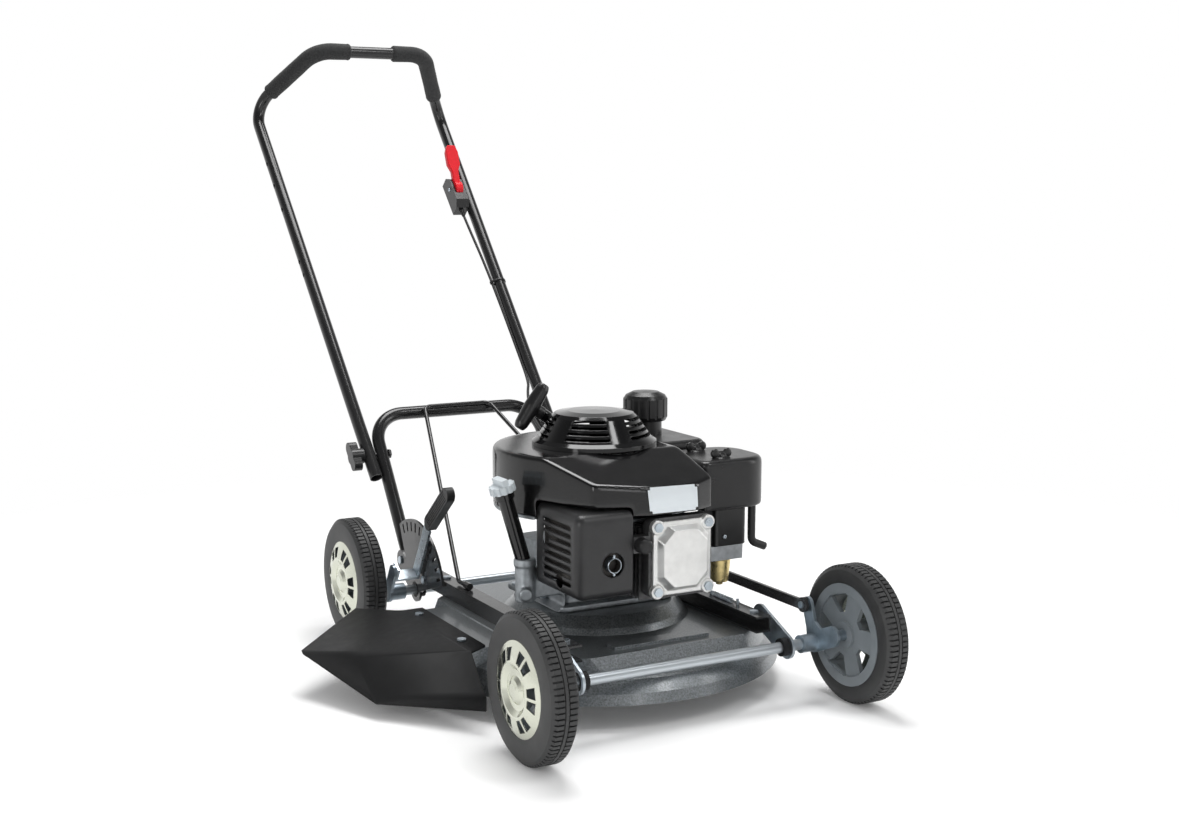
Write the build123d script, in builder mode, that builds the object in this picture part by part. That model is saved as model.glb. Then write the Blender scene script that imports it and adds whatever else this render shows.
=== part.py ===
from build123d import *
from math import atan2, cos, degrees, hypot, pi, radians, sin, sqrt
import os

# Walk-behind petrol rotary mower, millimetres.
# Origin on the ground midway between the axles, front towards -Y, +Z up, chute on the -X side.

# Wheels and where they stand
wheel_radius = 100.0
wheel_width = 41.0
half_track = 259.7
half_wheelbase = 319.2
rim_radius = 73.8
tread_depth = 3.5
tread_shoulder = 7.0
wall_bulge = 1.2
tread_blocks = 80
tread_groove = 2.4
tread_band = 2.2
band_groove = 1.4
band_depth = 2.2
axle_radius = 8.0
hub_radius = 19.0
hub_length = 38.0
web_thickness = 7.0
rim_wall = 14.0
bead_lip = 3.0
rim_windows = 5
web_offset = 13.5
window_spoke = 26.0
window_in = 32.0
cap_radius = 63.6
cap_sheet = 1.6
cap_crown = 10.0
cap_groups = 6
cap_pair = 21.0
cap_spoke = 4.0
cap_ring_in = 38.5
cap_ring_out = 55.0
cap_centre = 9.0
cap_dome = 14.0
cap_bowl_in = 19.0
cap_bowl_out = 27.0
cap_bowl = 4.0
cap_ridge = 34.0
cap_ridge_high = 9.0
nut_radius = 12.0
nut_height = 6.0
nut_gap = 1.0

# Height adjuster: two cross shafts, a crank at each end, one link and one lever
shaft_radius = 8.0
shaft_height = 82.0
shaft_y = 277.5
crank_plate = 5.0
crank_x = 218.5
crank_lobe = 15.0
pin_lobe = 11.0
crank_gusset = 0.75
sleeve_radius = 13.0
sleeve_length = 24.0
link_pin_radius = 5.0
link_pin_y = 17.5
link_pin_z = 52.2
link_thickness = 5.0
link_width = 15.0
link_gap = 4.0
link_drop_start = 165.0
link_drop_end = 255.0
link_low_z = 48.0
fork_width = 26.0
fork_top = 60.0
fork_bottom = 22.4
fork_reach = 54.0
bush_radius = 13.0
bush_length = 14.0
lever_angle = 121.0
lever_width = 21.0
lever_sheet = 4.0
lever_x = 177.0
lever_foot_r = 34.0
lever_bend_r = 58.0
lever_arm_r = 136.0
grip_angle = 140.7
grip_length = 112.0
grip_width = 24.0
grip_thickness = 13.0
grip_ribs = 5
grip_groove = 1.6
pawl_gap = 0.4
quadrant_radius = 115.0
notch_pitch = 9.5
notch_first = 64.0
notch_count = 11
notch_width = 5.0
notch_in = 95.0
plate_rim = 7.0
foot_tab_out = 6.0
foot_tab_up = 36.0
foot_tab_width = 34.0
rail_tab_in = 60.0
rail_tab_up = 24.0
rail_tab_width = 24.0
front_tab_in = 28.0
front_tab_up = 29.0
front_tab_width = 36.0
notch_out = 110.0

# Fits
running = 0.05
seat = 0.1
free_gap = 0.3

# Deck, centred on the blade axis
deck_y = -14.0
sheet = 2.5
skirt_radius = 277.6
skirt_bottom = 35.4
wall_radius = 272.0
wall_top = 50.0
slope_radius = 258.0
slope_z = 66.0
dish_radius = 205.0
dish_z = 88.0
platform_z = 95.0
platform_half = 182.0
platform_front = -232.0
platform_rear = 205.0
platform_clip = 252.0
platform_flare = 16.5
boss_top_z = 119.0
boss_top_radius = 121.0
boss_low_z = 104.0
boss_low_radius = 136.0
boss_foot_radius = 146.0
shaft_hole = 45.0
pad_y = -203.0
pad_length = 158.0
pad_width = 24.0
pad_height = 5.5
tunnel_out = 258.0
tunnel_front = -108.0
tunnel_rear = 118.0
tunnel_z = 93.0

# Rails beside the engine
rail_out = 167.5
rail_width = 25.0
rail_height = 24.0
rail_front = -240.0
rail_rear = 300.0
rail_sheet = 3.0
plate_sheet = 4.0

# Handle
tube_radius = 11.0
tube_wall = 1.6
dent_heights = (768.5, 728.0, 684.5, 591.5, 569.0)
dent_radius = 5.0
dent_depth = 3.0
leg_low = Vector(179.0, 421.8, 243.0)
pivot_y = 453.0
pivot_z = 277.0
elbow = Vector(193.0, 1003.0, 876.6)
bar_corner = Vector(110.0, 872.0, 980.0)
elbow_radius = 45.0
corner_radius = 50.0
foam_radius = 15.5
foam_low = 0.27
foam_bar_end = 43.0
bolt_radius = 4.0
lower_corner_y = 497.0
lower_corner_z = 338.0
lower_foot_y = 331.0
lower_bend = 55.0
stay_radius = 3.5
stay_half = 62.0
stay_foot_rear = 140.0
stay_foot_front = 98.0
stay_cap_radius = 5.2
stay_cap_length = 16.0
stay_bend = 14.0
knob_length = 22.0
knob_span = 54.0
knob_width = 20.0
knob_hub = 13.0
throttle_z = 708.0
throttle_width = 26.5
throttle_length = 75.0
throttle_low = 14.0
throttle_high = 20.0
throttle_slot = 15.0
throttle_pivot = (6.0, 14.0)
throttle_pin = 3.0
throttle_hub = 14.0
throttle_chamfer = 12.0
throttle_rest = 21.0
paddle_neck = 14.0
paddle_from = 36.0
paddle_wide = 26.0
paddle_full = 50.0
paddle_taper = 76.0
paddle_length = 90.0
paddle_tip = 16.0
paddle_sheet = 12.0
paddle_round = 2.5
cable_radius = 2.5
tie_z = 545.0
cable_leaves_z = 400.0
tie_sheet = 1.3
tie_width = 5.0
cable_bend = 60.0
cable_lead = 20.0
slack_lead = 38.0
gland_lead = 26.0
gland_x = 70.0
gland_z = 300.0
gland_length = 14.0

# Engine
flange_z = 128.0
case_half_x = 85.0
case_front = -76.0
case_rear = 80.0
case_top = 205.0
case_round = 18.0
flange_half_x = 100.0
flange_half_y = 92.0
flange_round = 20.0
neck_out = 58.0
crank_radius = 12.5
plate_z = 260.0
cowl_z = 266.0
cowl_top = 352.0
cowl_radius = 152.0
cowl_wall = 3.0
cowl_flat_x = 99.0
nose_y = -196.0
nose_left = -17.0
nose_right = 60.0
left_cheek = (-87.0, -176.0)
right_cheek = (88.0, -184.0)
nose_round = 10.0
nose_bottom = 277.0
nose_slope_y = -95.0
nose_slope_z = 317.0
recoil_opening = 88.0
recoil_base = 93.3
recoil_base_z = 358.0
recoil_top = 65.0
recoil_top_z = 403.0
recoil_wall = 3.0
recoil_foot = 86.0
louvre_rows = 4
louvre_low = 366.0
louvre_pitch = 8.0
louvre_gap = 4.4
louvre_sectors = 5
louvre_rib = 22.0
rope_x = -53.0
rope_y = 40.0
rope_z = 389.0
rope_rise = 35.0
rope_boss = 9.0
rope_stem = 20.0
rope_bar = 72.0
rope_bar_radius = 7.5
rope_bar_tip = 5.5
rope_bar_middle = 9.5
rope_bar_taper = 6.0
cowl_round = 6.0
nose_lift_y = -171.0
gland_radius = 6.0
head_x = 34.0
head_z = 215.0
head_half_x = 52.0
head_half_z = 57.5
head_y = -205.0
cover_y = -222.0
cover_rim = 5.0
cover_round = 3.0
cover_taper = 22.0
cover_lobe = 10.0
cover_lobe_depth = 9.0
panel_half_x = 43.0
panel_half_z = 47.0
panel_round = 20.0
head_depth = 17.0
head_round = 12.0
barrel_low = 160.0
barrel_high = 252.0
port_y = -150.0
port_z = 205.0
port_half = 14.0
inlet_y = -127.0
inlet_z = 195.0
inlet_radius = 9.0
fin_count = 8
fin_pitch = 10.0
fin_sheet = 3.0
fin_half_x = 54.0
fin_low = 152.0
fin_high = 256.0
barrel_half_x = 46.0
guard_in = 21.0
guard_left = guard_in - cowl_radius
guard_right = -43.0
guard_front = -206.0
guard_rear = -80.0
guard_low = 166.0
guard_high = 287.0
guard_sheet = 2.5
guard_gap = 9.0
outlet_x = -75.0
outlet_z = 214.0
outlet_radius = 11.0
guard_hole = 17.0
guard_clear = 2.0
guard_round = 14.0
guard_slots = 8
guard_slot_pitch = 11.5
guard_slot_length = 82.0
guard_slot_width = 5.0
guard_port = 10.0
guard_ports = ((-108.0, 240.0), (-150.0, 186.0))
muffler_round = 16.0
outlet_proud = 3.0
spacer_radius = 5.0
spacer_in = 23.0
spacer_low = 190.0
spacer_high = 262.0
tank_in = 100.0
tank_out = 196.0
tank_front = -30.0
tank_rear = 150.0
tank_high = 345.0
neck_x = 140.0
neck_y = 72.0
neck_radius = 26.0
neck_top = 378.0
fuel_cap_radius = 35.0
fuel_cap_low = 366.0
fuel_cap_high = 412.0
tank_gap = 6.0
tank_round = 24.0
tank_edge = 10.0
neck_wall = 4.0
neck_depth = 40.0
cap_grips = 16
cap_grip_radius = 2.5
air_out = 224.0
air_front = -160.0
air_rear = -40.0
air_low = 262.0
air_high = 336.0
wing_nut_x = 146.0
wing_nut_front = -137.0
wing_nut_rear = -68.0
wing_nut_radius = 7.0
wing_nut_span = 26.0
wing_nut_sheet = 4.0
wing_nut_height = 11.0
air_round = 14.0
air_end_round = 44.0
air_edge = 9.0
carb_in = 112.0
carb_out = 178.0
carb_front = -150.0
carb_rear = -104.0
carb_low = 184.0
carb_high = 206.0
bowl_radius = 17.0
bowl_low = 148.0
bowl_x = 150.0
bowl_y = -130.0
hose_points = ((200.0, -140.0, 262.0), (200.0, -140.0, 205.0), (224.0, -140.0, 195.0))
hose_radius = 6.0
hose_wall = 1.5
hose_bend = 12.0
filler_y = -66.0
filler_foot_in = 6.0
filler_foot_x = filler_foot_in - cowl_radius
filler_foot_z = 203.0
filler_top_out = 24.0
filler_top_x = -cowl_radius - filler_top_out
filler_pad = 14.0
filler_pad_rear = 22.0
filler_wall = 2.0
filler_bore = 0.8
filler_top_z = 303.0
filler_radius = 11.0
oil_cap_radius = 19.0
oil_cap_height = 20.0
oil_cap_grips = 12
oil_cap_rib = 10.0
filler_collar = 14.0
filler_collar_depth = 10.0
plug_x = -31.0
plug_z = 238.0
plug_radius = 11.0
plug_length = 19.0
plug_boss = 11.5

# Cutting blade
blade_radius = 238.0
blade_width = 58.0
blade_sheet = 5.0
blade_z = 52.0
blade_boss_radius = 30.0
blade_boss_height = 31.0
blade_bolt_height = 8.0
lift_length = 70.0
lift_width = 14.0
lift_height = 8.0
crank_top = 345.0
flywheel_low = 290.0
flywheel_radius = 84.0
flywheel_depth = 30.0
flywheel_vanes = 14
flywheel_vane_height = 14.0

# Chute, a two-facet deflector
chute_sheet = 3.5
chute_edge = -262.0
chute_in = -226.0
chute_tip = (-429.0, 97.0)
chute_rear = (-305.0, 195.0)
chute_ridge_xy = (-371.0, 12.0)
chute_foot = Vector(-371.0, -67.0, 28.0)
chute_front_y = -185.0
roof_fall = 0.21
chute_bolt_x = 246.0
chute_bolt_front = -72.0
chute_bolt_rear = 82.0

# Spring on the left rail
spring_x = 155.0
spring_front = -168.0
spring_rear = -96.0
spring_wire = 0.7
spring_coil = 3.2
spring_turns = 14
spring_lead = 11.0
spring_straight = 3.0
hook_radius = 3.0
post_radius = 2.0

# Bolt heads
bolt_head_radius = 7.0
bolt_head_height = 3.0
rail_bolts = (-215.0, -60.0, 185.0)
flange_bolts_x = (-92.5, 92.5)
flange_bolts_y = (-22.0, 66.0)
cover_bolts = ((75.5, 261.5), (-7.5, 261.5), (-7.5, 168.5), (75.5, 168.5))
bracket_bolts = ((-212.0, 109.0), (240.0, 106.0), (337.0, 118.0))

left, right = 1, -1
front, rear = -1, 1
deck_axis = Axis((0, deck_y, 0), (0, 0, 1))
lower_half = rail_out - tube_radius - seat
handle_dir = (elbow - leg_low).normalized()
os.makedirs("parts", exist_ok=True)


def save(piece, label):
    """Label a finished piece and write it."""
    piece.part.label = label
    export_step(piece.part, f"parts/{label}.step")


def side_plane(x, y=0.0, z=0.0):
    """A plane square to X, drawn with Y to the right and Z up."""
    return Plane(origin=(x, y, z), x_dir=(0, 1, 0), z_dir=(1, 0, 0))


def bar(p, q, width):
    """A round-ended bar between two points of the sketch."""
    middle = ((p[0] + q[0]) / 2, (p[1] + q[1]) / 2)
    with Locations(middle):
        SlotCenterToCenter(
            hypot(q[0] - p[0], q[1] - p[1]), width, rotation=degrees(atan2(q[1] - p[1], q[0] - p[0]))
        )


def leg_point(z):
    """The point of the left handle leg's centre line at a height."""
    return leg_low + (elbow - leg_low) * ((z - leg_low.Z) / (elbow.Z - leg_low.Z))


def mirrored(point):
    return Vector(-point.X, point.Y, point.Z)


def tube(radius, wall=0.0):
    """The ring or disc that a tube is swept from."""
    Circle(radius)
    if wall:
        Circle(radius - wall, mode=Mode.SUBTRACT)


def up_plane(z, x=0.0, y=deck_y):
    """A level plane, centred on the crankshaft unless told otherwise."""
    return Plane(origin=(x, y, z), x_dir=(1, 0, 0), z_dir=(0, 0, 1))


# Wheels
def wheel_plane(side, y):
    """Axial direction outward along local x, radius along local y."""
    return Plane(origin=(side * half_track, y, wheel_radius), x_dir=(side, 0, 0), z_dir=(0, -side, 0))


def face_plane(side, y, out):
    """A plane across the axle, out millimetres outboard of the wheel's middle."""
    return side_plane(side * (half_track + out), y, wheel_radius)


def spoke_window(inner, outer, pitch, spoke):
    """A trapezoid window between two spokes, pointing along local x."""
    half_in = inner * sin(radians(pitch / 2)) - spoke / 2
    half_out = outer * sin(radians(pitch / 2)) - spoke / 2
    Polygon((inner, -half_in), (outer, -half_out), (outer, half_out), (inner, half_in), align=None)


def make_wheel(side, end, name):
    y = end * half_wheelbase
    half = wheel_width / 2
    rim_face = half - bead_lip
    axis = Axis((0, y, wheel_radius), (1, 0, 0))
    with BuildPart() as tyre:
        with BuildSketch(wheel_plane(side, y)):
            with BuildLine():
                rise = wheel_radius - tread_shoulder
                sole = half - tread_shoulder
                bead = rim_radius + seat
                floor = wheel_radius - band_depth
                band = tread_band + band_groove
                wall = half - wall_bulge
                hole = cap_radius + free_gap
                ThreePointArc((-wall, rise), (-half, (rise + bead) / 2), (-wall, bead))
                Polyline((-wall, bead), (rim_face, bead), (rim_face, hole), (wall, hole))
                ThreePointArc((wall, hole), (half, (rise + hole) / 2), (wall, rise))
                Polyline(
                    (wall, rise), (sole, wheel_radius), (band, wheel_radius), (band, floor),
                    (tread_band, floor), (tread_band, wheel_radius), (-tread_band, wheel_radius),
                    (-tread_band, floor), (-band, floor), (-band, wheel_radius),
                    (-sole, wheel_radius), (-wall, rise),
                )
            make_face()
        revolve(axis=axis)
        for row, turn in ((-1, 0), (1, 180 / tread_blocks)):
            with BuildSketch(face_plane(side, y, row * band)):
                with PolarLocations(wheel_radius, tread_blocks, start_angle=turn):
                    Rectangle(2 * tread_depth, tread_groove)
            extrude(amount=row * side * half, mode=Mode.SUBTRACT)
    save(tyre, f"{name}_tyre")

    with BuildPart() as rim:
        with BuildSketch(wheel_plane(side, y)):
            with Locations((-bead_lip / 2, rim_radius - rim_wall / 2)):
                Rectangle(wheel_width - bead_lip, rim_wall)
            with Locations((-web_offset, (rim_radius + hub_radius) / 2)):
                Rectangle(web_thickness, rim_radius - hub_radius)
            with Locations((-bead_lip, (axle_radius + running + hub_radius) / 2)):
                Rectangle(hub_length, hub_radius - axle_radius - running)
        revolve(axis=axis)
        with BuildSketch(face_plane(side, y, 0)):
            with PolarLocations(0, rim_windows):
                spoke_window(window_in, rim_radius - rim_wall - 2, 360 / rim_windows, window_spoke)
        extrude(amount=wheel_width, both=True, mode=Mode.SUBTRACT)
    save(rim, f"{name}_rim")

    with BuildPart() as cap:
        with BuildSketch(wheel_plane(side, y)):
            with BuildLine():
                lip = cap_radius - 4
                ring = (cap_ridge_high, cap_ridge + 2.5)
                swell = ((cap_ridge_high + cap_sheet) / 2 + 1, (ring[1] + cap_radius) / 2)
                top = [
                    (cap_crown, 0), (cap_crown, cap_centre), (cap_crown - 2, cap_dome),
                    (cap_bowl, cap_bowl_in), (cap_bowl, cap_bowl_out), (cap_ridge_high, cap_ridge), ring,
                ]
                high = [(rim_face + rise, r) for rise, r in top]
                low = [(x - cap_sheet, r) for x, r in high]
                edge = (rim_face + cap_sheet, cap_radius)
                hem = (rim_face, lip)
                Polyline(*high)
                ThreePointArc(high[-1], (rim_face + swell[0], swell[1]), edge)
                Polyline(edge, (rim_face, cap_radius), hem)
                ThreePointArc(hem, (rim_face + swell[0] - cap_sheet, swell[1] - 1), low[-1])
                Polyline(*low[::-1])
                Line(low[0], high[0])
            make_face()
        revolve(axis=axis)
        with BuildSketch(face_plane(side, y, rim_face)):
            for turn in (-cap_pair / 2, cap_pair / 2):
                with PolarLocations(0, cap_groups, start_angle=turn):
                    spoke_window(cap_ring_in, cap_ring_out, cap_pair, cap_spoke)
        extrude(amount=side * cap_crown, mode=Mode.SUBTRACT)
    save(cap, f"{name}_hubcap")


for side, side_name in ((left, "left"), (right, "right")):
    for end, end_name in ((front, "front"), (rear, "rear")):
        make_wheel(side, end, f"{end_name}_{side_name}")


# Height adjuster
def shaft_plane(end, x):
    """A plane square to a cross shaft, centred on it."""
    return side_plane(x, end * shaft_y, shaft_height)


wheel_dy = half_wheelbase - shaft_y
wheel_dz = wheel_radius - shaft_height
plate_in = crank_x - crank_plate / 2
plate_out = crank_x + crank_plate / 2
link_in = plate_in - link_gap - link_thickness

for end, end_name in ((front, "front"), (rear, "rear")):
    with BuildPart() as shaft:
        with BuildSketch(shaft_plane(end, -plate_out)):
            Circle(shaft_radius)
        extrude(amount=2 * plate_out)
    save(shaft, f"{end_name}_shaft")

    # The front link pin stands above its shaft and the rear one hangs below, so the shafts turn opposite ways
    pin = (link_pin_y, -end * link_pin_z)
    for side, side_name in ((left, "left"), (right, "right")):
        lever_seat = end == rear and side == right
        with BuildPart() as crank:
            with BuildSketch(shaft_plane(end, side * crank_x)):
                axle = (end * wheel_dy, wheel_dz)
                bar((0, 0), axle, 2 * crank_lobe)
                if not lever_seat:
                    gusset = [(crank_gusset * a, crank_gusset * b) for a, b in (axle, pin)]
                    Polygon((0, 0), *gusset, align=None)
                if lever_seat:
                    lobe = lever_bend_r - pin_lobe
                    turn = radians(lever_angle)
                    bar((0, 0), (lobe * cos(turn), lobe * sin(turn)), 2 * pin_lobe)
                else:
                    bar((0, 0), pin, 2 * pin_lobe)
                Circle(shaft_radius, mode=Mode.SUBTRACT)
            extrude(amount=crank_plate / 2, both=True)
            with BuildSketch(shaft_plane(end, side * plate_in)):
                Circle(sleeve_radius)
                Circle(shaft_radius, mode=Mode.SUBTRACT)
            extrude(amount=-side * sleeve_length)
            with BuildSketch(side_plane(side * plate_out, end * half_wheelbase, wheel_radius)):
                Circle(axle_radius)
            extrude(amount=side * (half_track + wheel_width / 2 - plate_out))
            nut_x = half_track + hub_length / 2 - bead_lip + nut_gap
            with BuildSketch(side_plane(side * nut_x, end * half_wheelbase, wheel_radius)):
                RegularPolygon(radius=nut_radius, side_count=6)
            extrude(amount=side * nut_height)
            if side == left:
                with BuildSketch(shaft_plane(end, side * plate_in)):
                    with Locations(pin):
                        Circle(link_pin_radius)
                extrude(amount=-side * (link_gap + link_thickness + 3))
        save(crank, f"{end_name}_{side_name}_crank")

with BuildPart() as link_bar:
    link_z = shaft_height + link_pin_z
    front_eye = (-shaft_y + link_pin_y, link_z)
    rear_pin = (shaft_y + link_pin_y, shaft_height - link_pin_z)
    with BuildSketch(side_plane(link_in)):
        bar(front_eye, (link_drop_start, link_z), link_width)
        bar((link_drop_start, link_z), (link_drop_end, link_low_z), link_width)
        bar((link_drop_end, link_low_z), (rear_pin[0], link_low_z), link_width)
        with Locations(front_eye):
            Circle(pin_lobe)
            Circle(link_pin_radius + running, mode=Mode.SUBTRACT)
        with Locations((rear_pin[0], (fork_top + fork_bottom) / 2)):
            Rectangle(fork_width, fork_top - fork_bottom)
        with Locations((rear_pin[0], fork_reach / 2)):
            Rectangle(2 * (link_pin_radius + free_gap), fork_reach, mode=Mode.SUBTRACT)
    extrude(amount=link_thickness)
save(link_bar, "link_bar")

lever_dir = Vector(0, cos(radians(lever_angle)), sin(radians(lever_angle)))
lever_plane = Plane(origin=(-lever_x, shaft_y, shaft_height), x_dir=lever_dir, z_dir=(1, 0, 0))
grip_start = Vector(-lever_x, shaft_y, shaft_height) + lever_dir * lever_arm_r
grip_dir = Vector(0, cos(radians(grip_angle)), sin(radians(grip_angle)))
grip_plane = Plane(origin=grip_start, x_dir=grip_dir, z_dir=(1, 0, 0))

with BuildPart() as height_lever:
    with BuildSketch(lever_plane):
        with Locations(((lever_foot_r + lever_arm_r) / 2, 0)):
            Rectangle(lever_arm_r - lever_foot_r, lever_width)
    extrude(amount=lever_sheet / 2, both=True)
    with BuildSketch(lever_plane):
        with Locations((lever_foot_r + lever_sheet / 2, 0)):
            Rectangle(lever_sheet, lever_width)
    extrude(amount=lever_x - plate_in)
    with BuildSketch(lever_plane.offset(lever_x - plate_in)):
        with Locations(((lever_foot_r + lever_bend_r) / 2, 0)):
            Rectangle(lever_bend_r - lever_foot_r, lever_width)
    extrude(amount=lever_sheet)
    with BuildSketch(lever_plane):
        with Locations(((notch_in + notch_out) / 2, 0)):
            Rectangle(notch_out - notch_in - 4, notch_width - 1.5)
    extrude(amount=lever_x - rail_out - plate_sheet - pawl_gap)
    with BuildSketch(grip_plane):
        with Locations((grip_length * 0.35, 0)):
            Rectangle(grip_length * 0.7, lever_width * 0.7)
    extrude(amount=lever_sheet / 2, both=True)
save(height_lever, "height_lever")

with BuildPart() as lever_grip:
    with BuildSketch(grip_plane):
        with Locations((grip_length / 2 + 4, 0)):
            SlotOverall(grip_length, grip_width)
    extrude(amount=grip_thickness / 2, both=True)
    with BuildSketch(grip_plane):
        with Locations((grip_length * 0.35, 0)):
            Rectangle(grip_length * 0.7 + 2 * seat, lever_width * 0.7 + 2 * seat)
        with Locations((0, 0)):
            Rectangle(2 * grip_width, lever_width + 2 * seat)
    extrude(amount=lever_sheet / 2 + seat, both=True, mode=Mode.SUBTRACT)
    for face in (-1, 1):
        with BuildSketch(grip_plane.offset(face * (grip_thickness / 2 - grip_groove))):
            with Locations((grip_length / 2 + 4, 0)):
                with GridLocations(1, grip_width / (grip_ribs + 1), 1, grip_ribs):
                    Rectangle(grip_length - grip_width, grip_groove)
        extrude(amount=face * 2 * grip_groove, mode=Mode.SUBTRACT)
save(lever_grip, "lever_grip")



def bearing_plate():
    """Outline of the rear bearing plate: round the shaft, up to the handle's foot and along the rail."""
    Circle(sleeve_radius + plate_rim)
    bar((0, 0), (lower_foot_y + foot_tab_out - shaft_y, foot_tab_up), foot_tab_width)
    bar((0, 0), (rail_rear - shaft_y - rail_tab_in, rail_tab_up), rail_tab_width)


with BuildPart() as height_quadrant:
    with BuildSketch(side_plane(-rail_out - plate_sheet, shaft_y, shaft_height)):
        last = notch_first + notch_pitch * (notch_count - 1)
        with BuildLine():
            a, b = radians(notch_first - 7), radians(last + 6)
            m = (a + b) / 2
            rim_a = (quadrant_radius * cos(a), quadrant_radius * sin(a))
            rim_b = (quadrant_radius * cos(b), quadrant_radius * sin(b))
            rim_m = (quadrant_radius * cos(m), quadrant_radius * sin(m))
            ThreePointArc(rim_a, rim_m, rim_b)
            Polyline(rim_b, (-sleeve_radius - 5, 0), (sleeve_radius + 5, 0), rim_a)
        make_face()
        bearing_plate()
        Circle(bush_radius, mode=Mode.SUBTRACT)
        notch_middle = (notch_in + notch_out) / 2
        with PolarLocations(notch_middle, notch_count, notch_first, last - notch_first, endpoint=True):
            Rectangle(notch_out - notch_in, notch_width, mode=Mode.SUBTRACT)
    extrude(amount=plate_sheet)
save(height_quadrant, "height_quadrant")

with BuildPart() as shaft_brackets:
    for side in (left, right):
        with BuildSketch(side_plane(side * (rail_out + plate_sheet / 2), -shaft_y, shaft_height)):
            bar((0, 0), (shaft_y + rail_front + front_tab_in, front_tab_up), front_tab_width)
            Circle(bush_radius, mode=Mode.SUBTRACT)
        extrude(amount=plate_sheet / 2, both=True)
    with BuildSketch(side_plane(rail_out + plate_sheet / 2, shaft_y, shaft_height)):
        bearing_plate()
        Circle(bush_radius, mode=Mode.SUBTRACT)
    extrude(amount=plate_sheet / 2, both=True)
save(shaft_brackets, "shaft_brackets")

with BuildPart() as shaft_bushes:
    for side in (left, right):
        for end in (front, rear):
            with BuildSketch(shaft_plane(end, side * (rail_out + plate_sheet - bush_length))):
                Circle(bush_radius - running)
                Circle(shaft_radius + running, mode=Mode.SUBTRACT)
            extrude(amount=side * bush_length)
save(shaft_bushes, "shaft_bushes")


# Deck
def dish(inset):
    """Half section of the round pressing, inset from its outer face."""
    rise = [
        (boss_top_radius, boss_top_z), (boss_low_radius, boss_low_z), (boss_foot_radius, dish_z + 2),
        (dish_radius, dish_z), (slope_radius, slope_z), (wall_radius, wall_top), (skirt_radius, skirt_bottom),
    ]
    outline = [(0, boss_top_z - inset)]
    outline += [(r - inset * 0.8, z - inset * 0.8) for r, z in rise]
    outline += [(skirt_radius - inset * 0.8, 0 if inset else skirt_bottom), (0, 0 if inset else skirt_bottom)]
    Polygon(*outline, align=None)


def platform(spread, round_radius):
    """Outline of the flat that carries the rails, clipped round by the pressing."""
    with Locations((0, (platform_rear + platform_front) / 2)):
        Rectangle(2 * (platform_half + spread), platform_rear - platform_front + 2 * spread)
    with Locations((0, deck_y)):
        Circle(round_radius, mode=Mode.INTERSECT)


deck_section = Plane(origin=(0, deck_y, 0), x_dir=(1, 0, 0), z_dir=(0, -1, 0))
with BuildPart() as deck:
    with BuildSketch(deck_section):
        dish(0)
    revolve(axis=deck_axis)
    with BuildSketch(Plane.XY.offset(slope_z)):
        platform(platform_flare, slope_radius - seat)
    with BuildSketch(Plane.XY.offset(platform_z)):
        platform(0, platform_clip)
    loft()
    with BuildSketch(Plane.XY.offset(skirt_bottom)):
        with Locations((-tunnel_out / 2 - 50, (tunnel_front + tunnel_rear) / 2)):
            Rectangle(tunnel_out - 100, tunnel_rear - tunnel_front)
    extrude(amount=tunnel_z - skirt_bottom)
    with BuildSketch(deck_section):
        dish(sheet)
    revolve(axis=deck_axis, mode=Mode.SUBTRACT)
    with BuildSketch(Plane.XY.offset(slope_z - sheet)):
        platform(platform_flare - sheet, slope_radius - seat - sheet)
    with BuildSketch(Plane.XY.offset(platform_z - sheet)):
        platform(-sheet, platform_clip - sheet)
    loft(mode=Mode.SUBTRACT)
    with BuildSketch(Plane.XY):
        with Locations((-tunnel_out / 2 - 50, (tunnel_front + tunnel_rear) / 2)):
            Rectangle(tunnel_out, tunnel_rear - tunnel_front - 2 * sheet)
    extrude(amount=tunnel_z - sheet, mode=Mode.SUBTRACT)
    with BuildSketch(Plane.XY):
        with Locations((0, deck_y)):
            Circle(shaft_hole)
    extrude(amount=2 * boss_top_z, mode=Mode.SUBTRACT)
    with BuildSketch(up_plane(platform_z - sheet / 2, 0, pad_y)):
        RectangleRounded(pad_length, pad_width, 4)
    extrude(amount=pad_height)
save(deck, "deck")

with BuildPart() as chassis_rails:
    for side in (left, right):
        with BuildSketch(Plane.XZ.offset(-rail_rear)):
            with Locations((side * (rail_out - rail_width / 2), platform_z + rail_height / 2)):
                Rectangle(rail_width, rail_height)
            with Locations((side * (rail_out - rail_width / 2 - rail_sheet), platform_z + rail_height / 2)):
                Rectangle(rail_width, rail_height - 2 * rail_sheet, mode=Mode.SUBTRACT)
        extrude(amount=rail_rear - rail_front)
save(chassis_rails, "chassis_rails")

# Chute: flat flange, roof sloping outwards, front facet with its skirt, and the corner between them
chute_top = tunnel_z + chute_sheet


def roof(p):
    """A point of the sloping roof above a plan point."""
    return Vector(p[0], p[1], chute_top - roof_fall * (chute_edge - p[0]))


def panel_plane(a, b, c):
    """The plane through three points, its X along the first two."""
    return Plane(origin=a, x_dir=b - a, z_dir=(b - a).cross(c - a))


def flat(plane, points):
    """Points of a plane as its own X and Y."""
    return [(plane.to_local_coords(p).X, plane.to_local_coords(p).Y) for p in points]


chute_corner = roof((chute_edge, tunnel_front))
chute_ridge = roof(chute_ridge_xy)
facet = panel_plane(chute_corner, chute_ridge, chute_foot)
facet_fall = facet.z_dir.Y / facet.z_dir.Z
facet_front = Vector(chute_edge, chute_front_y, chute_corner.Z - facet_fall * (chute_front_y - tunnel_front))
facet_low = Vector(chute_edge, chute_front_y, chute_foot.Z)

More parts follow.
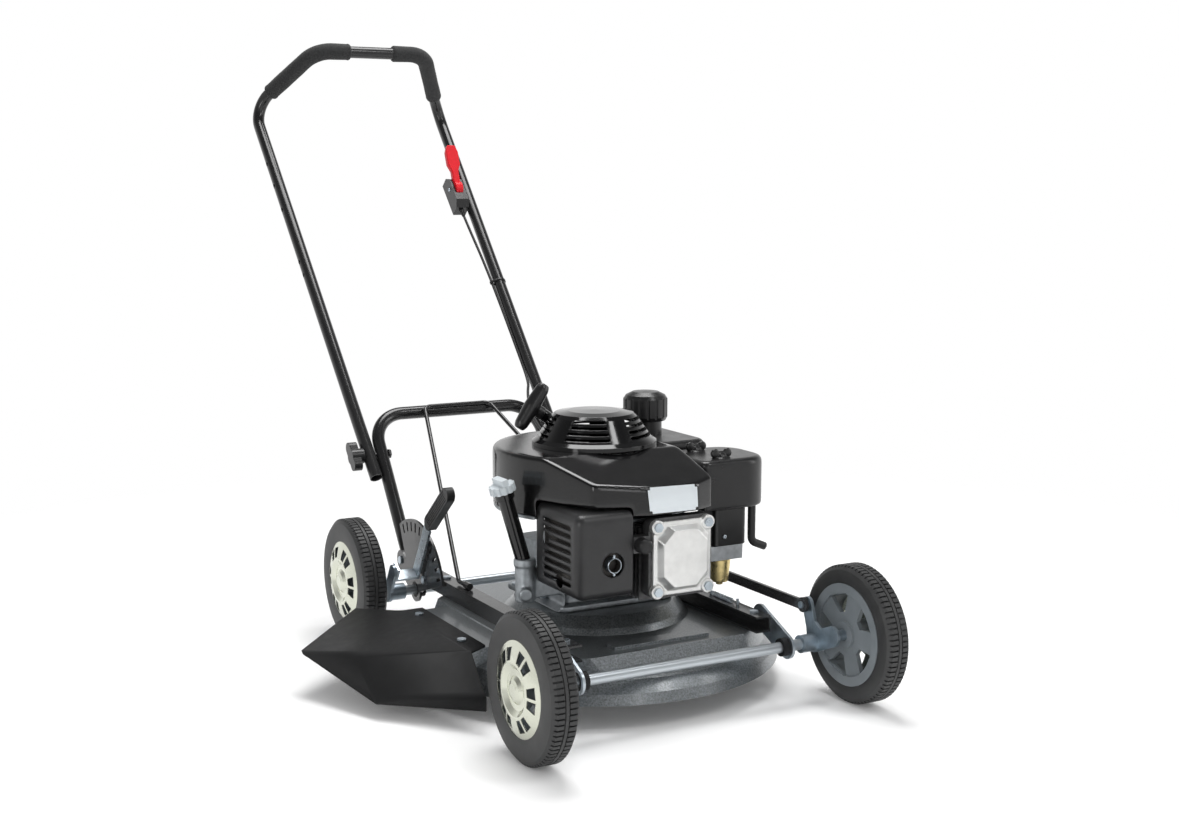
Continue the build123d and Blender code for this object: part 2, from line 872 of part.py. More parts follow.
with BuildPart() as chute:
    with BuildSketch(Plane.XY.offset(tunnel_z)):
        with Locations(((chute_edge + chute_in) / 2, (tunnel_front + tunnel_rear) / 2)):
            Rectangle(chute_in - chute_edge, tunnel_rear - tunnel_front)
    extrude(amount=chute_sheet)
    for panel in (
        (chute_corner, chute_ridge, roof(chute_tip), roof(chute_rear), roof((chute_edge, tunnel_rear))),
        (chute_corner, chute_ridge, chute_foot, facet_front),
        (chute_ridge, roof(chute_tip), chute_foot),
    ):
        base = panel_plane(*panel[:3])
        with BuildSketch(base):
            Polygon(*flat(base, panel), align=None)
        extrude(amount=chute_sheet, dir=(0, 0, -1))
    base = panel_plane(chute_foot, facet_front, facet_low)
    with BuildSketch(base):
        Polygon(*flat(base, (chute_foot, facet_front, facet_low)), align=None)
    extrude(amount=-chute_sheet)
save(chute, "chute")

# Handle
lower_slope = (lower_corner_z - pivot_z) / (lower_corner_y - pivot_y)


def lower_z(y):
    """Height of the lower handle's legs at a depth."""
    return pivot_z + lower_slope * (y - pivot_y)


lower_corner = Vector(lower_half, lower_corner_y, lower_corner_z)
lower_foot = Vector(lower_half, lower_foot_y, lower_z(lower_foot_y))

with BuildPart() as lower_handle:
    with BuildLine() as route:
        FilletPolyline(
            mirrored(lower_foot), mirrored(lower_corner), lower_corner, lower_foot, radius=lower_bend
        )
    with BuildSketch(Plane(origin=route.wire() @ 0, z_dir=route.wire() % 0)):
        tube(tube_radius, tube_wall)
    sweep()
    with BuildSketch(side_plane(-leg_low.X, pivot_y, pivot_z)):
        Circle(bolt_radius + running)
    extrude(amount=2 * leg_low.X, mode=Mode.SUBTRACT)
save(lower_handle, "lower_handle")

stay_x = rail_out - rail_width / 2
stay_z = platform_z + rail_height + stay_cap_radius + seat
stay_rise = (tube_radius + stay_radius + seat) * sqrt(0.5)
stay_top = Vector(stay_half, lower_corner_y - stay_rise, lower_corner_z + stay_rise)
stay_knee = Vector(stay_x, stay_foot_rear, stay_z)
stay_toe = Vector(stay_x, stay_foot_front, stay_z)

with BuildPart() as handle_stay:
    with BuildLine() as route:
        FilletPolyline(
            mirrored(stay_toe), mirrored(stay_knee), mirrored(stay_top), stay_top, stay_knee, stay_toe,
            radius=stay_bend,
        )
    with BuildSketch(Plane(origin=route.wire() @ 0, z_dir=route.wire() % 0)):
        tube(stay_radius)
    sweep()
    for side in (left, right):
        with BuildSketch(Plane(origin=(side * stay_x, stay_foot_front, stay_z), z_dir=(0, 1, 0))):
            tube(stay_cap_radius)
        extrude(amount=stay_cap_length)
save(handle_stay, "handle_stay")

with BuildPart() as upper_handle:
    with BuildLine() as route:
        FilletPolyline(
            mirrored(leg_low), mirrored(elbow), mirrored(bar_corner), bar_corner, elbow, leg_low,
            radius=[elbow_radius, corner_radius, corner_radius, elbow_radius],
        )
    with BuildSketch(Plane(origin=route.wire() @ 0, z_dir=route.wire() % 0)):
        tube(tube_radius, tube_wall)
    sweep()
    with BuildSketch(side_plane(-elbow.X, pivot_y, pivot_z)):
        Circle(bolt_radius + running)
    extrude(amount=2 * elbow.X, mode=Mode.SUBTRACT)
    dent_out = Vector(tube_radius + dent_radius - dent_depth, 0, 0)
    with Locations(*[mirrored(leg_point(z)) - dent_out for z in dent_heights]):
        Sphere(dent_radius, mode=Mode.SUBTRACT)
save(upper_handle, "upper_handle")

grip_low = elbow + (bar_corner - elbow) * foam_low
grip_in = Vector(foam_bar_end, bar_corner.Y, bar_corner.Z)
for name, points in (
    ("left_grip", (grip_low, bar_corner, grip_in)),
    ("right_grip", (mirrored(grip_low), mirrored(bar_corner), mirrored(grip_in))),
):
    with BuildPart() as foam:
        with BuildLine() as route:
            FilletPolyline(*points, radius=corner_radius)
        with BuildSketch(Plane(origin=route.wire() @ 0, z_dir=route.wire() % 0)):
            tube(foam_radius, foam_radius - tube_radius - seat)
        sweep()
    save(foam, name)

with BuildPart() as wing_bolts:
    pivot_x = leg_point(pivot_z).X
    knob_in = pivot_x + tube_radius + free_gap
    for side in (left, right):
        with BuildSketch(side_plane(side * (lower_half - tube_radius - free_gap), pivot_y, pivot_z)):
            Circle(bolt_radius)
        extrude(amount=side * (knob_in + knob_length - lower_half + tube_radius + free_gap))
        with BuildSketch(side_plane(side * (lower_half - tube_radius - free_gap), pivot_y, pivot_z)):
            RegularPolygon(radius=2 * bolt_radius, side_count=6)
        extrude(amount=-side * bolt_radius)
        with BuildSketch(side_plane(side * knob_in, pivot_y, pivot_z)):
            Circle(knob_hub)
        extrude(amount=side * knob_length)
        with BuildSketch(side_plane(side * (knob_in + knob_length * 0.35), pivot_y, pivot_z)):
            with Locations(Rotation(0, 0, degrees(atan2(handle_dir.Z, handle_dir.Y)))):
                SlotOverall(knob_span, knob_width)
        extrude(amount=side * knob_length * 0.65)
save(wing_bolts, "wing_bolts")

# Throttle lever, its housing inside the left leg, and its cable
throttle_run = Vector(0, handle_dir.Y, handle_dir.Z).normalized()
throttle_at = leg_point(throttle_z)
throttle_x = leg_point(throttle_z - throttle_length / 2).X - tube_radius - seat - throttle_width / 2
throttle_plane = Plane(origin=(throttle_x, throttle_at.Y, throttle_z), x_dir=throttle_run, z_dir=(1, 0, 0))

with BuildPart() as throttle_housing:
    with BuildSketch(throttle_plane):
        end = throttle_length / 2
        bevel = end - throttle_chamfer
        brow = throttle_high - throttle_chamfer
        Polygon(
            (-end, -throttle_low), (end, -throttle_low), (end, brow), (bevel, throttle_high),
            (-bevel, throttle_high), (-end, brow), align=None,
        )
    extrude(amount=throttle_width / 2, both=True)
    with BuildSketch(throttle_plane):
        room = throttle_hub + 1
        low, back = throttle_pivot[0] - room, throttle_pivot[1] - room
        with Locations(((low + end + 1) / 2, (back + throttle_high + 1) / 2)):
            Rectangle(end + 1 - low, throttle_high + 1 - back)
    extrude(amount=throttle_slot / 2, both=True, mode=Mode.SUBTRACT)
    with BuildSketch(throttle_plane):
        with Locations(throttle_pivot):
            Circle(throttle_pin)
    extrude(amount=throttle_width / 2, both=True)
save(throttle_housing, "throttle_housing")

throttle_turn = radians(throttle_rest)
throttle_front = Vector(0, -throttle_run.Z, throttle_run.Y)
paddle_dir = throttle_run * cos(throttle_turn) + throttle_front * sin(throttle_turn)
pivot_at = throttle_plane.from_local_coords(Vector(*throttle_pivot, 0))
paddle_plane = Plane(origin=pivot_at, x_dir=paddle_dir, z_dir=paddle_dir.cross(Vector(1, 0, 0)))

with BuildPart() as throttle_lever:
    outline = [
        (0, paddle_neck), (paddle_from, paddle_neck), (paddle_full, paddle_wide),
        (paddle_taper, paddle_wide), (paddle_length, paddle_tip),
    ]
    with BuildSketch(paddle_plane):
        Polygon(
            *[(u, w / 2) for u, w in outline], *[(u, -w / 2) for u, w in reversed(outline)], align=None
        )
    extrude(amount=paddle_sheet / 2, both=True)
    fillet(throttle_lever.edges(), radius=paddle_round)
    with BuildSketch(Plane(origin=pivot_at, z_dir=(1, 0, 0))):
        Circle(throttle_hub)
    extrude(amount=paddle_neck / 2, both=True)
    with BuildSketch(Plane(origin=pivot_at, z_dir=(1, 0, 0))):
        Circle(throttle_pin + running)
    extrude(amount=paddle_neck, both=True, mode=Mode.SUBTRACT)
save(throttle_lever, "throttle_lever")

cable_beside = Vector(tube_radius + cable_radius + 2 * seat, 0, 0)
cable_start = throttle_plane.origin - throttle_run * (throttle_length / 2)
tie_at = leg_point(tie_z) - cable_beside
cable_leaves = leg_point(cable_leaves_z) - cable_beside

with BuildPart() as throttle_cable:
    with BuildLine() as route:
        FilletPolyline(
            cable_start, cable_start - throttle_run * cable_lead, tie_at, cable_leaves, radius=cable_bend
        )
    with BuildSketch(Plane(origin=route.wire() @ 0, z_dir=route.wire() % 0)):
        tube(cable_radius)
    sweep()
    with BuildSketch(Plane(origin=leg_point(tie_z), x_dir=(1, 0, 0), z_dir=handle_dir)):
        Circle(tube_radius + seat + tie_sheet)
        with Locations((-cable_beside.X, 0)):
            Circle(cable_radius + tie_sheet)
        make_hull()
        Circle(tube_radius + seat, mode=Mode.SUBTRACT)
    extrude(amount=tie_width / 2, both=True)
save(throttle_cable, "throttle_cable")

# The slack cable to the engine, which bends when the handle folds
gland_y = deck_y + sqrt(cowl_radius ** 2 - gland_x ** 2) + gland_length
slack_points = [
    cable_leaves, cable_leaves - handle_dir * slack_lead, Vector(146, 500, 362), Vector(122, 450, 352),
    Vector(100, 395, 338), Vector(84, 335, 322), Vector(75, 275, 310), Vector(71, 215, 303),
    Vector(gland_x, gland_y + gland_lead, gland_z), Vector(gland_x, gland_y, gland_z),
]


def bend_radii(points):
    """For each corner, the radius that uses under half of the shorter run beside it."""
    radii = []
    for a, b, c in zip(points, points[1:], points[2:]):
        turn = radians((b - a).get_angle(c - b))
        radii.append(0.45 * min((b - a).length, (c - b).length) / sin(turn / 2) * cos(turn / 2))
    return radii


slack_radii = bend_radii(slack_points)
print("slack cable bends", [round(r) for r in slack_radii])
with BuildPart() as control_cable:
    with BuildLine() as route:
        FilletPolyline(*slack_points, radius=slack_radii)
    with BuildSketch(Plane(origin=route.wire() @ 0, z_dir=route.wire() % 0)):
        tube(cable_radius)
    sweep()
save(control_cable, "control_cable")
print("slack cable length", round(route.wire().length))


# Engine
def block(x, y, z, mode=Mode.ADD):
    """A box between two values each of x, y and z."""
    with Locations((sum(x) / 2, sum(y) / 2, sum(z) / 2)):
        Box(x[1] - x[0], y[1] - y[0], z[1] - z[0], mode=mode)


def forward_plane(y, x=0.0, z=0.0):
    """A plane facing the front, drawn with X to the right and Z up."""
    return Plane(origin=(x, y, z), x_dir=(1, 0, 0), z_dir=(0, -1, 0))


guard_room_x = (guard_left - guard_clear, guard_right + guard_clear)
guard_room_y = (2 * nose_y, guard_rear + guard_clear)
case_middle = (case_front + case_rear) / 2
with BuildPart() as crankcase:
    with BuildSketch(up_plane(boss_top_z, 0, case_middle)):
        RectangleRounded(2 * flange_half_x, 2 * flange_half_y, flange_round)
    extrude(amount=flange_z - boss_top_z)
    with BuildSketch(up_plane(flange_z, 0, case_middle)):
        RectangleRounded(2 * case_half_x, case_rear - case_front, case_round)
    extrude(amount=case_top - flange_z)
    with BuildSketch(up_plane(case_top)):
        Circle(neck_out)
    extrude(amount=plate_z - case_top)
    with BuildSketch(up_plane(plate_z)):
        Circle(cowl_radius - 1)
    extrude(amount=cowl_z - plate_z)
    block(guard_room_x, guard_room_y, (plate_z, cowl_z), Mode.SUBTRACT)
    beside_air = (-2 * cowl_radius, tank_front - tank_gap)
    block((cowl_flat_x, 2 * cowl_radius), beside_air, (plate_z, cowl_z), Mode.SUBTRACT)
    pad_at = (filler_y - filler_pad, filler_y + filler_pad_rear)
    block((filler_foot_x - filler_pad, -case_half_x), pad_at, (flange_z, filler_foot_z))
    with BuildSketch(up_plane(boss_top_z)):
        Circle(crank_radius + running)
    extrude(amount=cowl_z, mode=Mode.SUBTRACT)
save(crankcase, "crankcase")

fin_low_y = head_y + head_depth + fin_pitch / 2
with BuildPart() as cylinder:
    barrel_x = (head_x - barrel_half_x, head_x + barrel_half_x)
    fin_x = (head_x - fin_half_x, head_x + fin_half_x)
    block(barrel_x, (head_y, case_front), (barrel_low, barrel_high))
    with BuildSketch(forward_plane(head_y, head_x, head_z)):
        RectangleRounded(2 * head_half_x, 2 * head_half_z, head_round)
    extrude(amount=-head_depth)
    for fin in range(fin_count):
        fin_y = fin_low_y + fin * fin_pitch
        block(fin_x, (fin_y, fin_y + fin_sheet), (fin_low, fin_high))
    for x, y, z in (((fin_x[0], barrel_x[0]), port_y, port_z), ((barrel_x[1], fin_x[1]), inlet_y, inlet_z)):
        block(x, (y - port_half, y + port_half), (z - port_half, z + port_half))
    plug_in = (plug_x - plug_boss, head_x - head_half_x + seat)
    block(plug_in, (head_y, head_y + head_depth), (plug_z - plug_boss, plug_z + plug_boss))
save(cylinder, "cylinder")

with BuildPart() as valve_cover:
    with BuildSketch(forward_plane(head_y, head_x, head_z)):
        RectangleRounded(2 * head_half_x, 2 * head_half_z, head_round)
    extrude(amount=cover_rim)
    for x, z in cover_bolts:
        with BuildSketch(forward_plane(head_y, x, z)):
            Circle(cover_lobe)
        extrude(amount=cover_lobe_depth)
    with BuildSketch(forward_plane(head_y - cover_rim, head_x, head_z)):
        RectangleRounded(2 * panel_half_x, 2 * panel_half_z, panel_round)
    extrude(amount=head_y - cover_y - cover_rim, taper=cover_taper)
    fillet(valve_cover.faces().sort_by(Axis.Y)[0].edges(), radius=cover_round)
save(valve_cover, "valve_cover")

with BuildPart() as spark_plug_cap:
    with BuildSketch(forward_plane(head_y, plug_x, plug_z)):
        Circle(plug_radius)
    extrude(amount=plug_length)
    fillet(spark_plug_cap.faces().sort_by(Axis.Y)[0].edges(), radius=plug_radius / 2)
save(spark_plug_cap, "spark_plug_cap")

muffler_front = guard_front + guard_gap
guard_middle_z = (guard_low + guard_high) / 2
with BuildPart() as muffler:
    muffler_x = (guard_left + guard_gap, guard_right - guard_gap)
    muffler_z = (guard_low + guard_gap, guard_high - guard_gap)
    block(muffler_x, (muffler_front, guard_rear - guard_gap), muffler_z)
    fillet(muffler.edges().filter_by(Axis.Y), radius=muffler_round)
    with BuildSketch(forward_plane(muffler_front, outlet_x, outlet_z)):
        Circle(outlet_radius)
        Circle(outlet_radius - 2, mode=Mode.SUBTRACT)
    extrude(amount=guard_gap + outlet_proud)
    with BuildSketch(side_plane(muffler_x[1], port_y, port_z)):
        Circle(outlet_radius)
    extrude(amount=head_x - fin_half_x - muffler_x[1])
    outer_x = guard_left + spacer_in
    for x, z in ((outer_x, spacer_low), (outer_x, spacer_high), (guard_right - spacer_in, spacer_high)):
        with BuildSketch(forward_plane(muffler_front, x, z)):
            Circle(spacer_radius)
        extrude(amount=guard_gap - guard_sheet)
save(muffler, "muffler")


def guard_form(inset):
    """The guard's box, open to the rear and right when inset, its other edges rounded."""
    with BuildPart() as form:
        block(
            (guard_left + inset, guard_right + inset), (guard_front + inset, guard_rear + inset),
            (guard_low + inset, guard_high - inset),
        )
        edges = form.edges().filter_by(
            lambda e: e.center().X < guard_right - guard_sheet and e.center().Y < guard_rear - guard_sheet
        )
        fillet(edges, radius=guard_round - inset)
    return form.part


with BuildPart() as muffler_guard:
    add(guard_form(0))
    add(guard_form(guard_sheet), mode=Mode.SUBTRACT)
    with BuildSketch(forward_plane(guard_front, outlet_x, outlet_z)):
        Circle(guard_hole)
    extrude(amount=-2 * guard_sheet, mode=Mode.SUBTRACT)
    with BuildSketch(side_plane(guard_left, (guard_front + guard_rear) / 2, guard_middle_z)):
        with GridLocations(1, guard_slot_pitch, 1, guard_slots):
            SlotOverall(guard_slot_length, guard_slot_width)
    extrude(amount=2 * guard_sheet, mode=Mode.SUBTRACT)
    with BuildSketch(side_plane(guard_left)):
        with Locations(*guard_ports):
            Circle(guard_port)
    extrude(amount=2 * guard_sheet, mode=Mode.SUBTRACT)
save(muffler_guard, "muffler_guard")


def cowl_form(inset):
    """The solid shape of the cowl, inset from its outside."""
    with BuildPart() as form:
        with BuildSketch(up_plane(cowl_z, 0, 0)):
            with Locations((0, deck_y)):
                Circle(cowl_radius - inset)
            with Locations(left_cheek, (nose_left, nose_y), (nose_right, nose_y), right_cheek):
                Circle(nose_round - inset)
            make_hull()
            with Locations((cowl_flat_x - inset + cowl_radius, 0)):
                Rectangle(2 * cowl_radius, 4 * cowl_radius, mode=Mode.SUBTRACT)
        extrude(amount=cowl_top - cowl_z - inset)
        if not inset:
            fillet(form.faces().sort_by(Axis.Z)[-1].edges(), radius=cowl_round)
        with BuildSketch(side_plane(-2 * cowl_radius)):
            Polygon(
                (nose_slope_y, cowl_top - inset), (nose_y - nose_round, nose_slope_z - inset),
                (2 * nose_y, nose_slope_z - inset), (2 * nose_y, 2 * cowl_top),
                (nose_slope_y, 2 * cowl_top), align=None,
            )
        extrude(amount=4 * cowl_radius, mode=Mode.SUBTRACT)
    return form.part


with BuildPart() as engine_shroud:
    add(cowl_form(0))
    add(cowl_form(cowl_wall), mode=Mode.SUBTRACT)
    full_width = (-2 * cowl_radius, 2 * cowl_radius)
    block(full_width, (2 * nose_y, nose_lift_y), (cowl_z, nose_bottom), Mode.SUBTRACT)
    block(guard_room_x, guard_room_y, (cowl_z, guard_high + guard_clear), Mode.SUBTRACT)
    with BuildSketch(up_plane(cowl_top)):
        Circle(recoil_opening)
    extrude(amount=-2 * cowl_wall, mode=Mode.SUBTRACT)
    with BuildSketch(Plane(origin=(gland_x, gland_y, gland_z), z_dir=(0, -1, 0))):
        Circle(gland_radius)
    extrude(amount=gland_length + cowl_wall)
save(engine_shroud, "engine_shroud")

rope_dir = Vector(-cos(radians(rope_rise)), 0, sin(radians(rope_rise)))
rope_at = Vector(rope_x, rope_y, rope_z)
with BuildPart() as recoil_cover:
    crown = [
        (0, recoil_top_z), (recoil_top - 26, recoil_top_z - 1), (recoil_top - 6, recoil_top_z - 4),
        (recoil_top, recoil_top_z - 9), (recoil_foot, recoil_base_z + 5), (recoil_base, recoil_base_z),
    ]
    inside = [(max(r - recoil_wall, 0), z - recoil_wall) for r, z in reversed(crown)]
    with BuildSketch(deck_section):
        Polygon(*crown, (recoil_base, cowl_top), (recoil_base - recoil_wall, cowl_top), *inside, align=None)
    revolve(axis=deck_axis)
    for row in range(louvre_rows):
        with BuildSketch(up_plane(louvre_low + row * louvre_pitch)):
            with PolarLocations(0, louvre_sectors, start_angle=180 / louvre_sectors - 90):
                spoke_window(recoil_top - 12, recoil_base, 360 / louvre_sectors, louvre_rib)
        extrude(amount=louvre_gap, mode=Mode.SUBTRACT)
    with BuildSketch(Plane(origin=rope_at, z_dir=rope_dir)):
        Circle(rope_boss)
    extrude(amount=rope_boss, both=True)
save(recoil_cover, "recoil_cover")

grip_across = Vector(rope_dir.Z, 0, -rope_dir.X)
with BuildPart() as recoil_grip:
    with BuildSketch(Plane(origin=rope_at + rope_dir * rope_boss, z_dir=rope_dir)):
        Circle(rope_boss - 2)
    extrude(amount=rope_stem, taper=4)
    bar_middle = rope_at + rope_dir * (rope_boss + rope_stem)
    with BuildSketch(Plane(origin=bar_middle, x_dir=(0, 1, 0), z_dir=rope_dir)):
        half = rope_bar / 2
        Polygon(
            (0, -half), (rope_bar_tip, -half), (rope_bar_radius, rope_bar_taper - half),
            (rope_bar_middle, 0), (rope_bar_radius, half - rope_bar_taper), (rope_bar_tip, half),
            (0, half), align=None,
        )
    revolve(axis=Axis(bar_middle, grip_across))
save(recoil_grip, "recoil_grip")

with BuildPart() as fuel_tank:
    block((tank_in, tank_out), (tank_front, tank_rear), (cowl_z, tank_high))
    fillet(fuel_tank.edges().filter_by(Axis.Z).sort_by(Axis.X)[2:], radius=tank_round)
    fillet(fuel_tank.faces().sort_by(Axis.Z)[-1].edges(), radius=tank_edge)
    with BuildSketch(up_plane(tank_high - 1, neck_x, neck_y)):
        Circle(neck_radius)
    extrude(amount=neck_top - tank_high + 1)
    with BuildSketch(up_plane(neck_top, neck_x, neck_y)):
        Circle(neck_radius - neck_wall)
    extrude(amount=-neck_depth, mode=Mode.SUBTRACT)
save(fuel_tank, "fuel_tank")

with BuildPart() as fuel_cap:
    with BuildSketch(Plane(origin=(neck_x, neck_y, 0), x_dir=(1, 0, 0), z_dir=(0, -1, 0))):
        Polygon(
            (0, fuel_cap_high), (fuel_cap_radius - 14, fuel_cap_high - 1),
            (fuel_cap_radius - 4, fuel_cap_high - 6),
            (fuel_cap_radius, fuel_cap_high - 12), (fuel_cap_radius, fuel_cap_low + 6),
            (fuel_cap_radius - 3, fuel_cap_low), (neck_radius + free_gap, fuel_cap_low),
            (neck_radius + free_gap, neck_top + seat), (0, neck_top + seat), align=None,
        )
    revolve(axis=Axis((neck_x, neck_y, 0), (0, 0, 1)))
    with BuildSketch(up_plane(fuel_cap_low, neck_x, neck_y)):
        with PolarLocations(fuel_cap_radius + 1, cap_grips):
            Circle(cap_grip_radius)
    extrude(amount=fuel_cap_high - fuel_cap_low, mode=Mode.SUBTRACT)
save(fuel_cap, "fuel_cap")

with BuildPart() as air_cleaner:
    block((cowl_flat_x + 2, air_out), (air_front, air_rear), (air_low, air_high))
    fillet(air_cleaner.edges().filter_by(Axis.Z).sort_by(Axis.X)[:2], radius=air_round)
    fillet(air_cleaner.edges().filter_by(Axis.Z).sort_by(Axis.X)[-2:], radius=air_end_round)
    fillet(air_cleaner.faces().sort_by(Axis.Z)[-1].edges(), radius=air_edge)
    for y in (wing_nut_front, wing_nut_rear):
        with BuildSketch(up_plane(air_high - 1, wing_nut_x, y)):
            Circle(wing_nut_radius)
        extrude(amount=wing_nut_radius)
        with BuildSketch(up_plane(air_high, wing_nut_x, y)):
            Rectangle(wing_nut_span, wing_nut_sheet)
        extrude(amount=wing_nut_height)
save(air_cleaner, "air_cleaner")

with BuildPart() as carburettor:
    block((carb_in, carb_out), (carb_front, carb_rear), (carb_low, carb_high))
    with BuildSketch(up_plane(carb_low, bowl_x, bowl_y)):
        Circle(bowl_radius)
    extrude(amount=bowl_low - carb_low, taper=6)
    with BuildSketch(up_plane(bowl_low, bowl_x, bowl_y)):
        RegularPolygon(radius=6, side_count=6)
    extrude(amount=-5)
    with BuildSketch(side_plane(head_x + fin_half_x, inlet_y, inlet_z)):
        Circle(inlet_radius)
    extrude(amount=carb_in - head_x - fin_half_x)
save(carburettor, "carburettor")

with BuildPart() as linkage_cover:
    block((carb_in + 14, carb_out + 4), (carb_front - 3, carb_rear + 3), (carb_high, air_low))
    fillet(linkage_cover.edges().filter_by(Axis.Z), radius=6)
save(linkage_cover, "linkage_cover")

with BuildPart() as breather_hose:
    with BuildLine() as route:
        FilletPolyline(*[Vector(*p) for p in hose_points], radius=hose_bend)
    with BuildSketch(Plane(origin=route.wire() @ 0, z_dir=route.wire() % 0)):
        tube(hose_radius, hose_wall)
    sweep()
save(breather_hose, "breather_hose")

filler_foot = Vector(filler_foot_x, filler_y, filler_foot_z)
filler_top = Vector(filler_top_x, filler_y, filler_top_z)
filler_dir = (filler_top - filler_foot).normalized()
filler_length = (filler_top - filler_foot).length
with BuildPart() as oil_filler_tube:
    mouth = Plane(origin=filler_top, x_dir=(0, 1, 0), z_dir=filler_dir)
    with BuildSketch(mouth):
        Circle(filler_radius)
    extrude(amount=-filler_length - filler_radius)
    with BuildSketch(mouth):
        Circle(filler_collar)
    extrude(amount=-filler_collar_depth)
    with BuildSketch(mouth):
        Circle(filler_radius - filler_wall)
    extrude(amount=-filler_length * filler_bore, mode=Mode.SUBTRACT)
    split(bisect_by=up_plane(filler_foot_z), keep=Keep.TOP)
save(oil_filler_tube, "oil_filler_tube")

with BuildPart() as oil_cap:
    cap_plane = Plane(origin=filler_top + filler_dir * seat, x_dir=(0, 1, 0), z_dir=filler_dir)
    with BuildSketch(cap_plane):
        Circle(oil_cap_radius)
        with PolarLocations(oil_cap_radius, oil_cap_grips):
            Circle(cap_grip_radius, mode=Mode.SUBTRACT)
    extrude(amount=oil_cap_height * 0.55)
    with BuildSketch(cap_plane.offset(oil_cap_height * 0.55)):
        Rectangle(2 * oil_cap_radius - 6, oil_cap_rib)
    extrude(amount=oil_cap_height * 0.45)
save(oil_cap, "oil_cap")

# Crankshaft, flywheel and blade
with BuildPart() as crankshaft:
    with BuildSketch(up_plane(blade_z + blade_sheet)):
        Circle(crank_radius)
    extrude(amount=crank_top - blade_z - blade_sheet)
save(crankshaft, "crankshaft")

with BuildPart() as flywheel:
    with BuildSketch(up_plane(flywheel_low)):
        Circle(flywheel_radius)
        Circle(crank_radius, mode=Mode.SUBTRACT)
    extrude(amount=flywheel_depth)
    with BuildSketch(up_plane(flywheel_low + flywheel_depth)):
        Circle(flywheel_radius)
        Circle(flywheel_radius * 0.72, mode=Mode.SUBTRACT)
        with PolarLocations(flywheel_radius * 0.86, flywheel_vanes):
            Rectangle(flywheel_radius * 0.3, 14, mode=Mode.SUBTRACT)
    extrude(amount=flywheel_vane_height)
save(flywheel, "flywheel")

with BuildPart() as blade_boss:
    with BuildSketch(up_plane(blade_z + blade_sheet)):
        Circle(blade_boss_radius)
        Circle(crank_radius, mode=Mode.SUBTRACT)
    extrude(amount=blade_boss_height)
    with BuildSketch(up_plane(blade_z)):
        RegularPolygon(radius=crank_radius, side_count=6)
    extrude(amount=-blade_bolt_height)
save(blade_boss, "blade_boss")

with BuildPart() as cutting_blade:
    with BuildSketch(up_plane(blade_z)):
        Rectangle(2 * blade_radius, blade_width)
    extrude(amount=blade_sheet)
    for end in (-1, 1):
        with BuildSketch(up_plane(blade_z + blade_sheet, end * (blade_radius - lift_length / 2), deck_y)):
            with Locations((0, -end * (blade_width - lift_width) / 2)):
                Rectangle(lift_length, lift_width)
        extrude(amount=lift_height)
    chamfer(
        cutting_blade.faces().sort_by(Axis.Z)[0].edges().filter_by(Axis.X), length=blade_sheet * 0.6
    )
save(cutting_blade, "cutting_blade")

# Spring lying on the left rail between two posts
spring_z = platform_z + rail_height + spring_coil + spring_wire + seat
spring_from = spring_front + spring_lead
spring_to = spring_rear - spring_lead
spring_pitch = (spring_to - spring_from) / spring_turns


def spring_node(half_turn):
    """A point of the coil and its direction there, counted in half turns from the top."""
    a = pi * half_turn
    point = Vector(
        spring_x + spring_coil * sin(a), spring_from + spring_pitch * half_turn / 2,
        spring_z + spring_coil * cos(a),
    )
    return point, Vector(spring_coil * cos(a), spring_pitch / (2 * pi), -spring_coil * sin(a)).normalized()


def biarc_join(p, t, q, u):
    """Where two arcs meet that leave p along t and arrive at q along u, and their direction there."""
    v, w, s = q - p, t + u, 2 * (1 - t.dot(u))
    d = (-v.dot(w) + sqrt(v.dot(w) ** 2 + s * v.dot(v))) / s
    return (p + t * d + q - u * d) * 0.5, (q - u * d - p - t * d).normalized()


along = Vector(0, 1, 0)
lead_in = Vector(spring_x, spring_front, spring_z)
lead_out = Vector(spring_x, spring_rear, spring_z)
nodes = [(lead_in + along * spring_straight, along)]
nodes += [spring_node(k) for k in range(2 * spring_turns + 1)]
nodes += [(lead_out - along * spring_straight, along)]
hook = Vector(2 * hook_radius, 0, 0)

with BuildPart() as rail_spring:
    with BuildLine() as route:
        ThreePointArc(lead_in + hook, lead_in + hook / 2 - along * hook_radius, lead_in)
        Line(lead_in, nodes[0][0])
        for (p, t), (q, u) in zip(nodes, nodes[1:]):
            meet, heading = biarc_join(p, t, q, u)
            TangentArc(p, meet, tangent=t)
            TangentArc(meet, q, tangent=heading)
        Line(nodes[-1][0], lead_out)
        ThreePointArc(lead_out, lead_out + hook / 2 + along * hook_radius, lead_out + hook)
    with BuildSketch(Plane(origin=route.wire() @ 0, z_dir=route.wire() % 0)):
        tube(spring_wire)
    sweep()
save(rail_spring, "rail_spring")

spring_path = route.wire()
samples = [spring_path @ (k / 1200) for k in range(1201)]
apart = spring_coil * pi / (spring_path.length / 1200)
spring_gap = min(
    (samples[i] - samples[j]).length for i in range(0, 1201, 3) for j in range(int(i + apart), 1201, 3)
) - 2 * spring_wire
print("spring gap to itself", round(spring_gap, 2))

